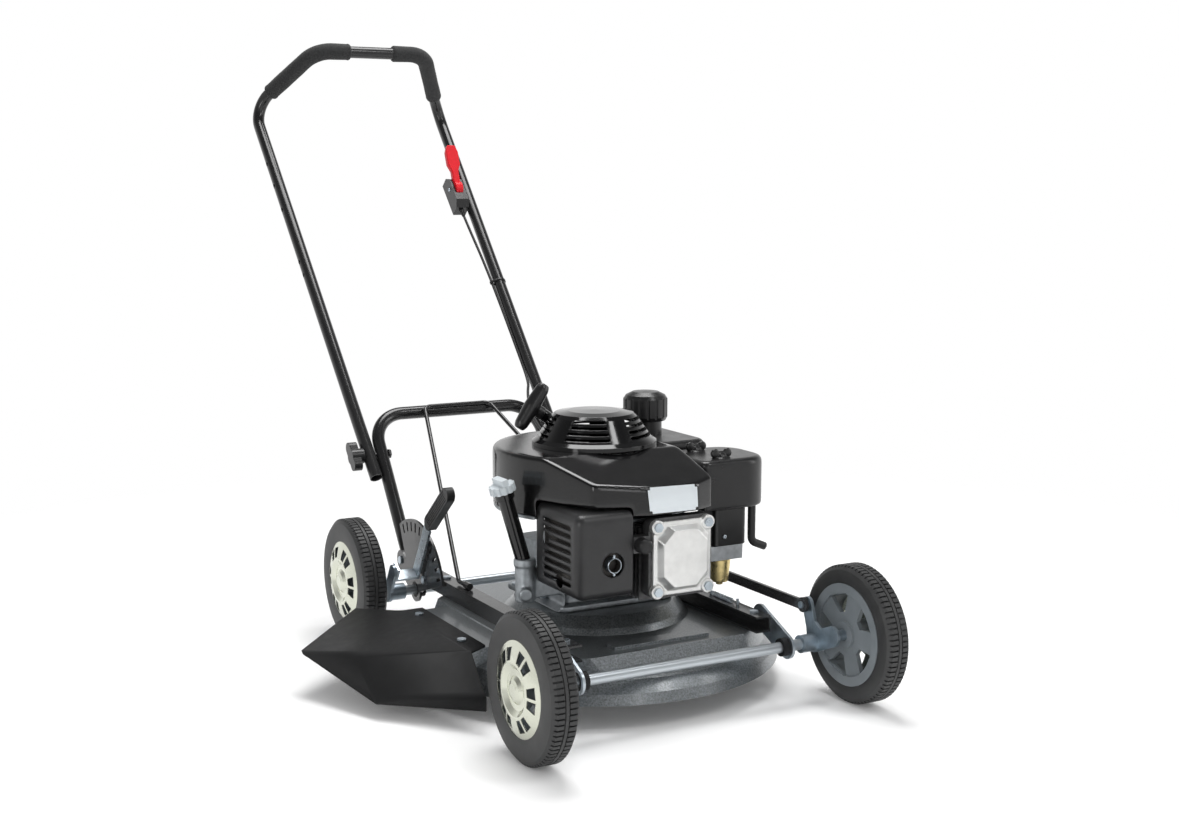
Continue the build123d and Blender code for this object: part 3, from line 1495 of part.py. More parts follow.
# Bolt heads and the spring's posts
rail_top = platform_z + rail_height
bolt_places = [up_plane(rail_top, side * stay_x, y) for side in (left, right) for y in rail_bolts]
bolt_places += [up_plane(flange_z, x, y) for x in flange_bolts_x for y in flange_bolts_y]
bolt_places += [up_plane(chute_top, -chute_bolt_x, y) for y in (chute_bolt_front, chute_bolt_rear)]
bolt_places += [forward_plane(head_y - cover_lobe_depth, x, z) for x, z in cover_bolts]
bracket_face = rail_out + plate_sheet
for y, z in bracket_bolts:
    bolt_places += [Plane(origin=(side * bracket_face, y, z), z_dir=(side, 0, 0)) for side in (left, right)]
with BuildPart() as fasteners:
    for place in bolt_places:
        with BuildSketch(place):
            RegularPolygon(radius=bolt_head_radius, side_count=6)
        extrude(amount=bolt_head_height)
    for y in (spring_front, spring_rear):
        with BuildSketch(up_plane(rail_top, spring_x + hook_radius, y)):
            Circle(post_radius)
        extrude(amount=spring_z - rail_top + 5)
save(fasteners, "fasteners")
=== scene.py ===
import math

import bmesh
import bpy
from mathutils import Matrix, Vector


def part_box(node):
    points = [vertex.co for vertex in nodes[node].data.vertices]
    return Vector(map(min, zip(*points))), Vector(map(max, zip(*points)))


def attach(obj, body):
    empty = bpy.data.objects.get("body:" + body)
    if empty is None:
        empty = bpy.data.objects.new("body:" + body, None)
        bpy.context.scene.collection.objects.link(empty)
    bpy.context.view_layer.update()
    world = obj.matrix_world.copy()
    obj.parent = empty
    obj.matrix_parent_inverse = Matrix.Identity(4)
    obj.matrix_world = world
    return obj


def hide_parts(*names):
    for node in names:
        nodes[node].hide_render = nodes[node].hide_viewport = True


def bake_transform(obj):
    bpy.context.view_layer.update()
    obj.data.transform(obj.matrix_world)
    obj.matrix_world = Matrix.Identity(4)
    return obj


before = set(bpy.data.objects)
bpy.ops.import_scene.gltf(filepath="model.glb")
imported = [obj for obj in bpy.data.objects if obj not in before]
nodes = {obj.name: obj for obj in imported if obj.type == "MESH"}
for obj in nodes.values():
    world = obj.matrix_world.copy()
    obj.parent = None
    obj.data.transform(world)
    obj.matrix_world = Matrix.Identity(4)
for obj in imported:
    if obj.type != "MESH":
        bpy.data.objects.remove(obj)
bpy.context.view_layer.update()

# Camera, solved from the photograph: metres, degrees, and millimetres for lens and sensor
CAMERA_AT = (-1.1524, -2.1030, 0.7481)
CAMERA_YAW = -28.72
CAMERA_DOWN = 8.42
CAMERA_LENS = 49.33
CAMERA_SENSOR = 36.0

camera_data = bpy.data.cameras.new("camera")
camera_data.lens = CAMERA_LENS
camera_data.sensor_width = CAMERA_SENSOR
camera_data.sensor_fit = "HORIZONTAL"
camera = bpy.data.objects.new("camera", camera_data)
camera.location = CAMERA_AT
camera.rotation_euler = (math.radians(90 - CAMERA_DOWN), 0, math.radians(CAMERA_YAW))
bpy.context.collection.objects.link(camera)
bpy.context.scene.camera = camera
bpy.context.scene.view_settings.view_transform = "Standard"


# Shader nodes
def add_node(tree, kind, inputs=None, **settings):
    """A new shader node. Each input takes a value or the socket that feeds it."""
    made = tree.nodes.new(f"ShaderNode{kind}")
    for name, value in settings.items():
        setattr(made, name, value)
    for place, value in (inputs or {}).items():
        if isinstance(value, bpy.types.NodeSocket):
            tree.links.new(value, made.inputs[place])
        else:
            made.inputs[place].default_value = value
    return made


def map_range(tree, value, start=(0.0, 1.0), end=(0.0, 1.0), blend="LINEAR"):
    """A socket that carries a value over from one range to another."""
    inputs = {
        "Value": value, "From Min": start[0], "From Max": start[1], "To Min": end[0], "To Max": end[1],
    }
    return add_node(tree, "MapRange", inputs, interpolation_type=blend).outputs["Result"]


def calculate(tree, operation, *values):
    """A socket with the result of a math node."""
    return add_node(tree, "Math", dict(enumerate(values)), operation=operation).outputs["Value"]


def mix_colors(tree, amount, first, second):
    """A socket that goes from the first colour to the second."""
    return add_node(tree, "Mix", {0: amount, 6: first, 7: second}, data_type="RGBA").outputs[2]


# Materials
COAT_ROUGH = 0.08
LEAST_ROUGH = 0.02
MOTTLE_STOPS = (0.3, 0.7)
MOTTLE_DETAIL, BUMP_DETAIL = 4.0, 3.0
BUMP_STRENGTH = 0.6
WORN_POINTS = (0.53, 0.62)
WORN_GAIN, WORN_LIFT = 1.6, 0.05
ZONE_BLUR = 0.0002


def material(
    name, color, rough, mottle, bump=None, metal=0.0, coat=0.0, sheen=0.0, spec=0.5, flow=(1.0, 1.0, 1.0),
    wear=0.0, edge=0.0, zone=None,
):
    """A procedural material: mottled colour, uneven roughness, fine bump and softened edges.
    rough is (mean, spread, scale of the pattern) and mottle is (scale, spread); bump is (kind, scale,
    depth in metres); flow stretches the patterns along X, Y and Z; wear is how far outward edges turn
    paler; edge is the radius that sharp edges are softened by; zone is (axis, limit, colour, metal, rough)
    for the side of the node below that limit."""
    made = bpy.data.materials.new(name)
    made.use_nodes = True
    tree = made.node_tree
    shader = tree.nodes["Principled BSDF"]
    shader.inputs["Metallic"].default_value = metal
    shader.inputs["Coat Weight"].default_value = coat
    shader.inputs["Coat Roughness"].default_value = COAT_ROUGH
    shader.inputs["Sheen Weight"].default_value = sheen
    shader.inputs["Specular IOR Level"].default_value = spec
    place = add_node(tree, "TexCoord").outputs["Object"]
    pattern = add_node(tree, "Mapping", {"Scale": flow, "Vector": place}).outputs["Vector"]

    def noise(scale, detail=MOTTLE_DETAIL):
        inputs = {"Scale": scale, "Detail": detail, "Vector": pattern}
        return add_node(tree, "TexNoise", inputs).outputs["Fac"]

    mottle_scale, mottle_spread = mottle
    blotch = noise(mottle_scale)

    def tint(tone):
        ramp = add_node(tree, "ValToRGB", {"Fac": blotch})
        low, high = ramp.color_ramp.elements
        low.position, high.position = MOTTLE_STOPS
        low.color = [c * (1 - mottle_spread) for c in tone] + [1]
        high.color = [min(1, c * (1 + mottle_spread)) for c in tone] + [1]
        return ramp.outputs["Color"]

    surface = tint(color)
    if wear:
        points = add_node(tree, "NewGeometry").outputs["Pointiness"]
        worn = map_range(tree, points, WORN_POINTS, (0.0, wear))
        paler = [min(1, c * WORN_GAIN + WORN_LIFT) for c in color] + [1]
        surface = mix_colors(tree, worn, surface, paler)

    mean, spread, rough_scale = rough
    uneven = (max(LEAST_ROUGH, mean - spread), min(1, mean + spread))
    finish = map_range(tree, noise(rough_scale), end=uneven)

    if zone:
        axis, limit, other, other_metal, other_rough = zone
        along = add_node(tree, "SeparateXYZ", {"Vector": place}).outputs[axis]
        side = map_range(tree, along, (limit + ZONE_BLUR, limit - ZONE_BLUR))
        surface = mix_colors(tree, side, surface, tint(other))
        finish = calculate(tree, "MULTIPLY_ADD", side, other_rough - mean, finish)
        tree.links.new(map_range(tree, side, end=(metal, other_metal)), shader.inputs["Metallic"])
    tree.links.new(surface, shader.inputs["Base Color"])
    tree.links.new(finish, shader.inputs["Roughness"])

    normal = None
    if edge:
        normal = add_node(tree, "Bevel", {"Radius": edge}).outputs["Normal"]
    if bump:
        kind, scale, depth = bump
        if kind == "cells":
            cells = add_node(tree, "TexVoronoi", {"Scale": scale, "Vector": pattern}, feature="SMOOTH_F1")
            height = cells.outputs["Distance"]
        else:
            height = noise(scale, BUMP_DETAIL)
        relief = add_node(tree, "Bump", {"Strength": BUMP_STRENGTH, "Distance": depth, "Height": height})
        if normal:
            tree.links.new(normal, relief.inputs["Normal"])
        normal = relief.outputs["Normal"]
    if normal:
        tree.links.new(normal, shader.inputs["Normal"])
    return made


# Painted and plated metal
deck_paint = material(
    "deck_paint", (0.21, 0.226, 0.236), rough=(0.34, 0.1, 420.0), mottle=(420.0, 0.35),
    bump=("cells", 480.0, 0.0005), metal=0.8, coat=0.3, edge=0.0008,
)
black_paint = material(
    "black_paint", (0.011, 0.011, 0.0115), rough=(0.22, 0.06, 90.0), mottle=(30.0, 0.2),
    bump=("noise", 500.0, 0.00005), coat=0.25, spec=0.38, wear=0.2, edge=0.0006,
)
bracket_finish = material(
    "bracket_finish", (0.011, 0.011, 0.0115), rough=(0.22, 0.06, 90.0), mottle=(70.0, 0.14),
    bump=("noise", 500.0, 0.00005), coat=0.2, spec=0.4, edge=0.0006,
    zone=("Y", 0.0, (0.55, 0.61, 0.66), 1.0, 0.32),
)
guard_black = material(
    "guard_black", (0.020, 0.020, 0.021), rough=(0.4, 0.06, 80.0), mottle=(40.0, 0.15),
    bump=("noise", 1500.0, 0.00012), coat=0.05, edge=0.0008,
)
zinc = material(
    "zinc", (0.50, 0.56, 0.61), rough=(0.3, 0.12, 120.0), mottle=(70.0, 0.14),
    bump=("noise", 900.0, 0.00005), metal=1.0, edge=0.0006,
)
zinc_dull = material(
    "zinc_dull", (0.36, 0.42, 0.47), rough=(0.38, 0.12, 120.0), mottle=(70.0, 0.18),
    bump=("noise", 900.0, 0.00005), metal=1.0, edge=0.0006,
)
bright_rod = material(
    "bright_rod", (0.52, 0.56, 0.59), rough=(0.34, 0.03, 200.0), mottle=(50.0, 0.06),
    metal=1.0, flow=(0.08, 1.0, 1.0),
)
silver = material(
    "silver_cap", (0.66, 0.675, 0.575), rough=(0.2, 0.08, 45.0), mottle=(25.0, 0.05),
    bump=("noise", 60.0, 0.0002), metal=1.0, edge=0.0008,
)
foil = material(
    "foil", (0.76, 0.81, 0.84), rough=(0.34, 0.06, 220.0), mottle=(40.0, 0.05),
    bump=("noise", 500.0, 0.00008), metal=0.9, flow=(0.15, 1.0, 1.0),
)

# Plastic, rubber and foam
grained = material(
    "grained_plastic", (0.0105, 0.0107, 0.0112), rough=(0.52, 0.06, 80.0), mottle=(30.0, 0.12),
    bump=("noise", 1400.0, 0.00012), spec=0.22, edge=0.0015,
)
satin = material(
    "satin_plastic", (0.010, 0.010, 0.0105), rough=(0.3, 0.06, 60.0), mottle=(25.0, 0.12),
    bump=("noise", 1500.0, 0.00004), edge=0.0010,
)
gloss = material(
    "gloss_plastic", (0.004, 0.004, 0.0044), rough=(0.1, 0.04, 40.0), mottle=(20.0, 0.15),
    bump=("noise", 30.0, 0.0002), spec=0.55, edge=0.0012,
)
shroud_black = material(
    "shroud_black", (0.006, 0.006, 0.0064), rough=(0.14, 0.05, 40.0), mottle=(20.0, 0.15),
    bump=("noise", 30.0, 0.0002), spec=0.55, edge=0.0010,
)
rim_grey = material(
    "rim_grey", (0.19, 0.212, 0.228), rough=(0.42, 0.07, 70.0), mottle=(35.0, 0.08),
    bump=("noise", 1300.0, 0.00008), edge=0.0010,
)
oil_grey = material(
    "oil_grey", (0.62, 0.67, 0.70), rough=(0.38, 0.07, 70.0), mottle=(35.0, 0.06),
    bump=("noise", 1300.0, 0.00008), edge=0.0010,
)
red = material(
    "red_plastic", (0.70, 0.004, 0.014), rough=(0.38, 0.06, 60.0), mottle=(40.0, 0.06),
    bump=("noise", 1300.0, 0.00005), spec=0.35,
)
tyre_rubber = material(
    "tyre_rubber", (0.030, 0.0305, 0.031), rough=(0.52, 0.08, 90.0), mottle=(45.0, 0.2),
    bump=("noise", 1100.0, 0.0001), edge=0.0006,
)
rubber = material(
    "rubber", (0.015, 0.015, 0.0155), rough=(0.45, 0.08, 90.0), mottle=(60.0, 0.15),
    bump=("noise", 900.0, 0.00008), spec=0.4, edge=0.0006,
)
foam = material(
    "foam", (0.034, 0.0345, 0.035), rough=(0.9, 0.06, 400.0), mottle=(300.0, 0.3),
    bump=("noise", 1600.0, 0.0005), sheen=0.1, spec=0.25,
)

# Castings and bare steel
cast = material(
    "cast_aluminium", (0.36, 0.385, 0.405), rough=(0.44, 0.1, 200.0), mottle=(140.0, 0.14),
    bump=("noise", 900.0, 0.0003), metal=0.85, edge=0.0010,
)
cover_silver = material(
    "cover_silver", (0.80, 0.80, 0.785), rough=(0.36, 0.08, 200.0), mottle=(60.0, 0.06),
    bump=("noise", 1000.0, 0.00018), metal=0.85, edge=0.0016,
)
carburettor_metal = material(
    "carburettor_metal", (0.47, 0.49, 0.51), rough=(0.4, 0.1, 150.0), mottle=(100.0, 0.15),
    bump=("noise", 900.0, 0.0002), metal=0.95, edge=0.0008,
    zone=("Z", 0.1838, (0.66, 0.53, 0.25), 1.0, 0.3),
)
fin_dark = material(
    "fin_dark", (0.10, 0.10, 0.102), rough=(0.45, 0.1, 200.0), mottle=(120.0, 0.2),
    bump=("noise", 900.0, 0.0002), metal=0.7,
)
hot_steel = material(
    "hot_steel", (0.07, 0.066, 0.062), rough=(0.5, 0.14, 60.0), mottle=(60.0, 0.35),
    bump=("noise", 500.0, 0.0002), metal=0.9,
)
iron = material(
    "iron", (0.13, 0.13, 0.13), rough=(0.45, 0.12, 120.0), mottle=(90.0, 0.2),
    bump=("noise", 600.0, 0.0002), metal=0.9, edge=0.0006,
)
blade_steel = material(
    "blade_steel", (0.30, 0.30, 0.31), rough=(0.4, 0.1, 150.0), mottle=(60.0, 0.15),
    metal=1.0, flow=(0.1, 1.0, 1.0), edge=0.0005,
)

FINISHES = {
    "deck": deck_paint, "shaft_brackets": bracket_finish, "muffler_guard": guard_black,
    "chassis_rails": black_paint, "lower_handle": black_paint, "upper_handle": black_paint,
    "handle_stay": black_paint, "height_quadrant": black_paint, "link_bar": black_paint,
    "front_shaft": bright_rod, "rear_shaft": bright_rod,
    "height_lever": zinc, "fasteners": zinc, "rail_spring": zinc,
    "shaft_bushes": grained, "chute": grained,
    "throttle_housing": satin, "wing_bolts": satin, "fuel_cap": satin, "fuel_tank": satin,
    "air_cleaner": satin, "linkage_cover": satin, "recoil_grip": satin,
    "oil_filler_tube": gloss, "recoil_cover": gloss, "engine_shroud": shroud_black,
    "oil_cap": oil_grey, "throttle_lever": red, "left_grip": foam, "right_grip": foam,
    "lever_grip": rubber, "throttle_cable": rubber, "control_cable": rubber, "breather_hose": rubber,
    "spark_plug_cap": rubber,
    "crankcase": cast, "cylinder": fin_dark, "valve_cover": cover_silver,
    "carburettor": carburettor_metal, "muffler": hot_steel,
    "crankshaft": iron, "flywheel": iron, "blade_boss": iron, "cutting_blade": blade_steel,
}
for end in ("front", "rear"):
    for side in ("left", "right"):
        FINISHES[f"{end}_{side}_crank"] = zinc_dull
        FINISHES[f"{end}_{side}_tyre"] = tyre_rubber
        FINISHES[f"{end}_{side}_rim"] = rim_grey
        FINISHES[f"{end}_{side}_hubcap"] = silver
for name, finish in FINISHES.items():
    for place in nodes[name].material_slots:
        place.material = finish

# Pieces, in metres
WELD = 1e-6


def piece(name, bm, finish, body=None, sharp=40):
    """Turn a finished bmesh into a smooth-shaded piece that rides on a body."""
    bmesh.ops.remove_doubles(bm, verts=bm.verts, dist=WELD)
    bmesh.ops.recalc_face_normals(bm, faces=bm.faces)
    mesh = bpy.data.meshes.new(name)
    bm.to_mesh(mesh)
    bm.free()
    for face in mesh.polygons:
        face.use_smooth = True
    mesh.set_sharp_from_angle(angle=math.radians(sharp))
    mesh.materials.append(finish)
    made = bpy.data.objects.new(name, mesh)
    bpy.context.collection.objects.link(made)
    if body:
        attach(made, body)
    return made


def add_ring(bm, at, across, up, radius, turns):
    """A ring of vertices. Its radius is a number or a function of the angle."""
    made = []
    for k in range(turns):
        turn = 2 * math.pi * k / turns
        reach = radius(turn) if callable(radius) else radius
        made.append(bm.verts.new(at + (across * math.cos(turn) + up * math.sin(turn)) * reach))
    return made


def join_rings(bm, rings):
    """Faces from each ring of vertices to the next. A ring of one vertex is a point."""
    for a, b in zip(rings, rings[1:]):
        count = max(len(a), len(b))
        for k in range(count):
            n = (k + 1) % count
            if len(a) == 1:
                bm.faces.new((a[0], b[k], b[n]))
            elif len(b) == 1:
                bm.faces.new((a[k], a[n], b[0]))
            else:
                bm.faces.new((a[k], a[n], b[n], b[k]))


def ways_along(line):
    """The direction at each point of a line."""
    last = len(line) - 1
    return [(line[min(i + 1, last)] - line[max(i - 1, 0)]).normalized() for i in range(len(line))]


def sweep(bm, line, radii, turns, ways):
    """A tube along a line of points, with a radius and a direction at each point."""
    across = ways[0].orthogonal().normalized()
    rings = []
    for at, radius, along in zip(line, radii, ways):
        across = (across - along * across.dot(along)).normalized()
        rings.append(add_ring(bm, at, across, along.cross(across), radius, turns))
    join_rings(bm, rings)
    return rings


def lathe(bm, at, axis, profile, turns):
    """A turned form: profile is (distance along the axis, radius)."""
    axis = Vector(axis).normalized()
    side = axis.orthogonal().normalized()
    up = axis.cross(side)
    rings = []
    for along, radius in profile:
        middle = Vector(at) + axis * along
        if radius == 0:
            rings.append([bm.verts.new(middle)])
        else:
            rings.append(add_ring(bm, middle, side, up, radius, turns))
    join_rings(bm, rings)


def block(bm, low, high):
    """A box between two corners; gives its vertices."""
    low, high = Vector(low), Vector(high)
    place = Matrix.Translation((low + high) / 2) @ Matrix.Diagonal((high - low).to_4d())
    made = bmesh.ops.create_cube(bm, size=1.0)["verts"]
    bmesh.ops.transform(bm, matrix=place, verts=made)
    return made


# Cables
CABLE_RADIUS = 0.0025
CABLE_TURNS = 16
THROTTLE_ROUTE = [
    (0.1641, 0.82299, 0.68037), (0.1641, 0.80947, 0.66563), (0.17197, 0.69882, 0.545),
    (0.16877, 0.56582, 0.4),
]
SLACK_ROUTE = [
    (0.16877, 0.56582, 0.4), (0.16815, 0.54013, 0.372), (0.146, 0.5, 0.362), (0.122, 0.45, 0.352),
    (0.1, 0.395, 0.338), (0.084, 0.335, 0.322), (0.075, 0.275, 0.31), (0.071, 0.215, 0.303),
    (0.07, 0.16092, 0.3), (0.07, 0.13492, 0.3),
]
ROUTE_ORDER, ROUTE_STEPS = 3, 20


def route_curve(name, points):
    """The NURBS line of a cord, with the route's points as its control points."""
    data = bpy.data.curves.new(name, "CURVE")
    data.dimensions = "3D"
    line = data.splines.new("NURBS")
    line.points.add(len(points) - 1)
    for knot, co in zip(line.points, points):
        knot.co = (*co, 1.0)
    line.order_u = ROUTE_ORDER
    line.use_endpoint_u = True
    line.resolution_u = ROUTE_STEPS
    made = bpy.data.objects.new(name, data)
    bpy.context.collection.objects.link(made)
    return made


def route_points(points):
    """The points that the route's NURBS line gives."""
    guide = route_curve("guide", points)
    bpy.context.view_layer.update()
    mesh = bpy.data.meshes.new_from_object(guide)
    line = [v.co.copy() for v in mesh.vertices]
    data = guide.data
    bpy.data.objects.remove(guide)
    bpy.data.curves.remove(data)
    bpy.data.meshes.remove(mesh)
    return line


def line_length(line):
    return sum((b - a).length for a, b in zip(line, line[1:]))


def cable(name, points):
    """A cable along a route, closed at both ends, and the line that it follows."""
    line = route_points(points)
    bm = bmesh.new()
    rings = sweep(bm, line, [CABLE_RADIUS] * len(line), CABLE_TURNS, ways_along(line))
    bm.faces.new(rings[0])
    bm.faces.new(rings[-1])
    return piece(name, bm, rubber), line


held_cable, held_line = cable("held_cable", THROTTLE_ROUTE)
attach(held_cable, "upper_handle")
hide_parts("throttle_cable")

# The tie that straps the cable to the handle leg
LEG_AT_TIE = Vector((0.185671, 0.69882, 0.545))
LEG_ALONG = Vector((0.014, 0.5812, 0.6336)).normalized()
TIE_ON_LEG, TIE_ON_CABLE = 0.0112, 0.0027
TIE_WIDE, TIE_SHEET = 0.005, 0.0013
TIE_STEPS = 24
# Shares of the sheet outwards and of the width sideways
TIE_SECTION = [(0, -0.5), (0.75, -0.5), (1, -0.36), (1, 0.36), (0.75, 0.5), (0, 0.5)]

cable_at_tie = min(held_line, key=lambda point: (point - LEG_AT_TIE).length)
apart = cable_at_tie - LEG_AT_TIE
apart -= LEG_ALONG * apart.dot(LEG_ALONG)
toward = apart.normalized()
aside = LEG_ALONG.cross(toward)
lean = math.acos((TIE_ON_LEG - TIE_ON_CABLE) / apart.length)
bm = bmesh.new()
loops = []
for middle, radius, first, last in (
    (LEG_AT_TIE, TIE_ON_LEG, lean, 2 * math.pi - lean), (LEG_AT_TIE + apart, TIE_ON_CABLE, -lean, lean),
):
    for k in range(TIE_STEPS + 1):
        turn = first + (last - first) * k / TIE_STEPS
        out = toward * math.cos(turn) + aside * math.sin(turn)
        at = middle + out * radius
        loops.append([
            bm.verts.new(at + out * (TIE_SHEET * u) + LEG_ALONG * (TIE_WIDE * v)) for u, v in TIE_SECTION
        ])
join_rings(bm, loops + loops[:1])
cable_tie = piece("cable_tie", bm, satin, "upper_handle")

# A ribbed sleeve where the cable leaves the throttle housing
SLEEVE_START, SLEEVE_COLLAR, SLEEVE_END = -0.001, 0.002, 0.0148
SLEEVE_BORE, SLEEVE_MOUTH, SLEEVE_TIP = 0.0026, 0.0046, 0.0029
SLEEVE_TURNS = 20
RIB_COUNT, RIB_PITCH = 4, 0.003
RIB_RADIUS, RIB_TAPER = 0.0044, 0.0003
# Distance along one pitch and step from the rib's radius
RIB_SHAPE = [(0.0006, -0.0007), (0.0014, -0.0007), (0.002, 0), (0.003, 0)]

profile = [(SLEEVE_START, SLEEVE_BORE), (SLEEVE_START, SLEEVE_MOUTH), (SLEEVE_COLLAR, SLEEVE_MOUTH)]
for k in range(RIB_COUNT):
    at = SLEEVE_COLLAR + RIB_PITCH * k
    wide = RIB_RADIUS - RIB_TAPER * k
    profile += [(at + along, wide + step) for along, step in RIB_SHAPE]
profile += [(SLEEVE_END, SLEEVE_TIP), (SLEEVE_END, SLEEVE_BORE)]
bm = bmesh.new()
lathe(bm, held_line[0], held_line[1] - held_line[0], profile, SLEEVE_TURNS)
housing_sleeve = piece("housing_sleeve", bm, satin, "upper_handle", 25)

slack_cable, slack_line = cable("slack_cable", SLACK_ROUTE)
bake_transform(slack_cable)
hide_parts("control_cable")

# Foam grips, sleeves on the bent handle tube
TUBE_RADIUS, FOAM_RADIUS = 0.011, 0.0155
FOAM_GAP, FOAM_SLACK = 0.0002, 0.00035
FOAM_TURNS = 48
GRIP_LOW = (0.17059, 0.96763, 0.904518)
GRIP_CORNER = (0.110, 0.872, 0.980)
GRIP_END = (0.043, 0.872, 0.980)
GRIP_BEND, GRIP_STEP = 0.050, 0.003
STRAIGHT_STEPS, LEAST_STEPS = 24, 4
LIP_INSIDE, LIP_LONG, LIP_DROP = 0.006, 0.0045, 0.0042
LIP_STEPS = 8
# Height, waves per metre of length, waves round the girth, and phase by side
FOAM_WAVES = [(0.00016, 61, 0, 1.3), (0.00010, 143, 2, 0), (0.00008, 35, 3, 0)]


def bent_line(a, corner, b, radius):
    """Points along two straights joined by an arc."""
    into, out = (corner - a).normalized(), (b - corner).normalized()
    turn = into.angle(out)
    back = radius * math.tan(turn / 2)
    first, last = corner - into * back, corner + out * back
    middle = first + (out - into * into.dot(out)).normalized() * radius
    axis = into.cross(out).normalized()
    made = [a.lerp(first, k / STRAIGHT_STEPS) for k in range(STRAIGHT_STEPS)]
    count = max(LEAST_STEPS, round(radius * turn / GRIP_STEP))
    for k in range(count + 1):
        made.append(middle + Matrix.Rotation(turn * k / count, 3, axis) @ (first - middle))
    count = max(LEAST_STEPS, round((b - last).length / GRIP_STEP))
    made += [last.lerp(b, k / count) for k in range(1, count + 1)]
    return made


def foam_radius(travel, side):
    """The radius round the sleeve at a distance along it. Foam gives a little along its length and girth."""
    def radius(turn):
        swell = sum(
            height * math.sin(travel * long + turn * girth + side * phase)
            for height, long, girth, phase in FOAM_WAVES
        )
        return FOAM_RADIUS - FOAM_SLACK + swell
    return radius


# Distance from the sleeve's end and radius, from inside the bore round to the outside
lip = [(LIP_INSIDE, TUBE_RADIUS + FOAM_GAP), (0.0, TUBE_RADIUS + FOAM_GAP)]
for k in range(1, LIP_STEPS + 1):
    turn = math.pi / 2 * k / LIP_STEPS
    lip.append((LIP_LONG * (1 - math.cos(turn)), FOAM_RADIUS - LIP_DROP * (1 - math.sin(turn))))

for name, side in (("left_grip", 1), ("right_grip", -1)):
    low, corner, high = (Vector((side * x, y, z)) for x, y, z in (GRIP_LOW, GRIP_CORNER, GRIP_END))
    line = bent_line(low, corner, high, GRIP_BEND)
    whole = line_length(line)
    first_way, last_way = (line[1] - line[0]).normalized(), (line[-1] - line[-2]).normalized()
    points = [line[0] + first_way * along for along, _ in lip]
    radii = [radius for _, radius in lip]
    travel = 0.0
    for before, at in zip(line[:1] + line, line):
        travel += (at - before).length
        if travel >= LIP_LONG and whole - travel >= LIP_LONG:
            points.append(at)
            radii.append(foam_radius(travel, side))
    points += [line[-1] - last_way * along for along, _ in reversed(lip)]
    radii += [radius for _, radius in reversed(lip)]
    ways = ways_along(points)
    ways[:len(lip)] = [first_way] * len(lip)
    ways[-len(lip):] = [last_way] * len(lip)
    bm = bmesh.new()
    sweep(bm, points, radii, FOAM_TURNS, ways)
    sleeve = piece(f"foam_{name}", bm, foam, "upper_handle", 75)
    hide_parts(name)

# A bare foil plate on the front of the shroud, its corners as (x, z)
PLATE = [(-0.0215, 0.3185), (0.0600, 0.3165), (0.0625, 0.2795), (-0.0165, 0.2805)]
PLATE_OFF, PLATE_SHEET, PLATE_CORNER = 0.0001, 0.0006, 0.004

shroud_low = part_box("engine_shroud")[0]
bm = bmesh.new()
bm.faces.new([bm.verts.new((x, shroud_low.y - PLATE_OFF, z)) for x, z in PLATE])
bmesh.ops.bevel(bm, geom=bm.verts[:], offset=PLATE_CORNER, segments=5, affect="VERTICES")
grown = bmesh.ops.extrude_face_region(bm, geom=bm.faces[:])["geom"]
raised = [part for part in grown if isinstance(part, bmesh.types.BMVert)]
bmesh.ops.translate(bm, vec=(0, -PLATE_SHEET, 0), verts=raised)
piece("nose_plate", bm, foil, "chassis")

# Screws: the head's height as a share of its radius, then shares of that height or radius
HEAD_HIGH, HEAD_WALL, HEAD_FLAT = 0.7, 0.3, 0.45
SOCKET_EDGE, SOCKET_FLOOR, SOCKET_WIDE = 0.45, 0.35, 0.40
HEAD_SUNK, HEAD_STEPS, HEAD_TURNS = 0.001, 6, 24
HOUSING_SCREW_Y, HOUSING_SCREW_Z, HOUSING_SCREW_RADIUS = 0.8492, 0.7202, 0.0038
COVER_SCREW_X, COVER_SCREW_Z, COVER_SCREW_RADIUS = 0.1432, 0.2205, 0.0032


def screw(name, at, axis, radius, body):
    """A pan-head screw with a socket."""
    high = radius * HEAD_HIGH
    profile = [(-HEAD_SUNK, radius), (high * HEAD_WALL, radius)]
    for k in range(1, HEAD_STEPS + 1):
        turn = math.pi / 2 * k / HEAD_STEPS
        up = HEAD_WALL + (1 - HEAD_WALL) * math.sin(turn)
        wide = HEAD_FLAT + (1 - HEAD_FLAT) * math.cos(turn)
        profile.append((high * up, radius * wide))
    profile += [(high * SOCKET_EDGE, radius * SOCKET_WIDE), (high * SOCKET_FLOOR, 0)]
    bm = bmesh.new()
    lathe(bm, at, axis, profile, HEAD_TURNS)
    piece(name, bm, zinc, body, 30)


housing_at = (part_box("throttle_housing")[0].x, HOUSING_SCREW_Y, HOUSING_SCREW_Z)
screw("housing_screw", housing_at, (-1, 0, 0), HOUSING_SCREW_RADIUS, "upper_handle")
cover_at = (COVER_SCREW_X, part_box("linkage_cover")[0].y, COVER_SCREW_Z)
screw("cover_screw", cover_at, (0, -1, 0), COVER_SCREW_RADIUS, "chassis")

# Mouldings and castings with rounded edges
SMOOTH_FACTOR = 0.5
DRUM_TURNS = 36


def evaluated(made):
    """Give an object the mesh that its modifiers make."""
    bpy.context.view_layer.update()
    mesh = bpy.data.meshes.new_from_object(made.evaluated_get(bpy.context.evaluated_depsgraph_get()))
    made.modifiers.clear()
    made.data = mesh
    return mesh


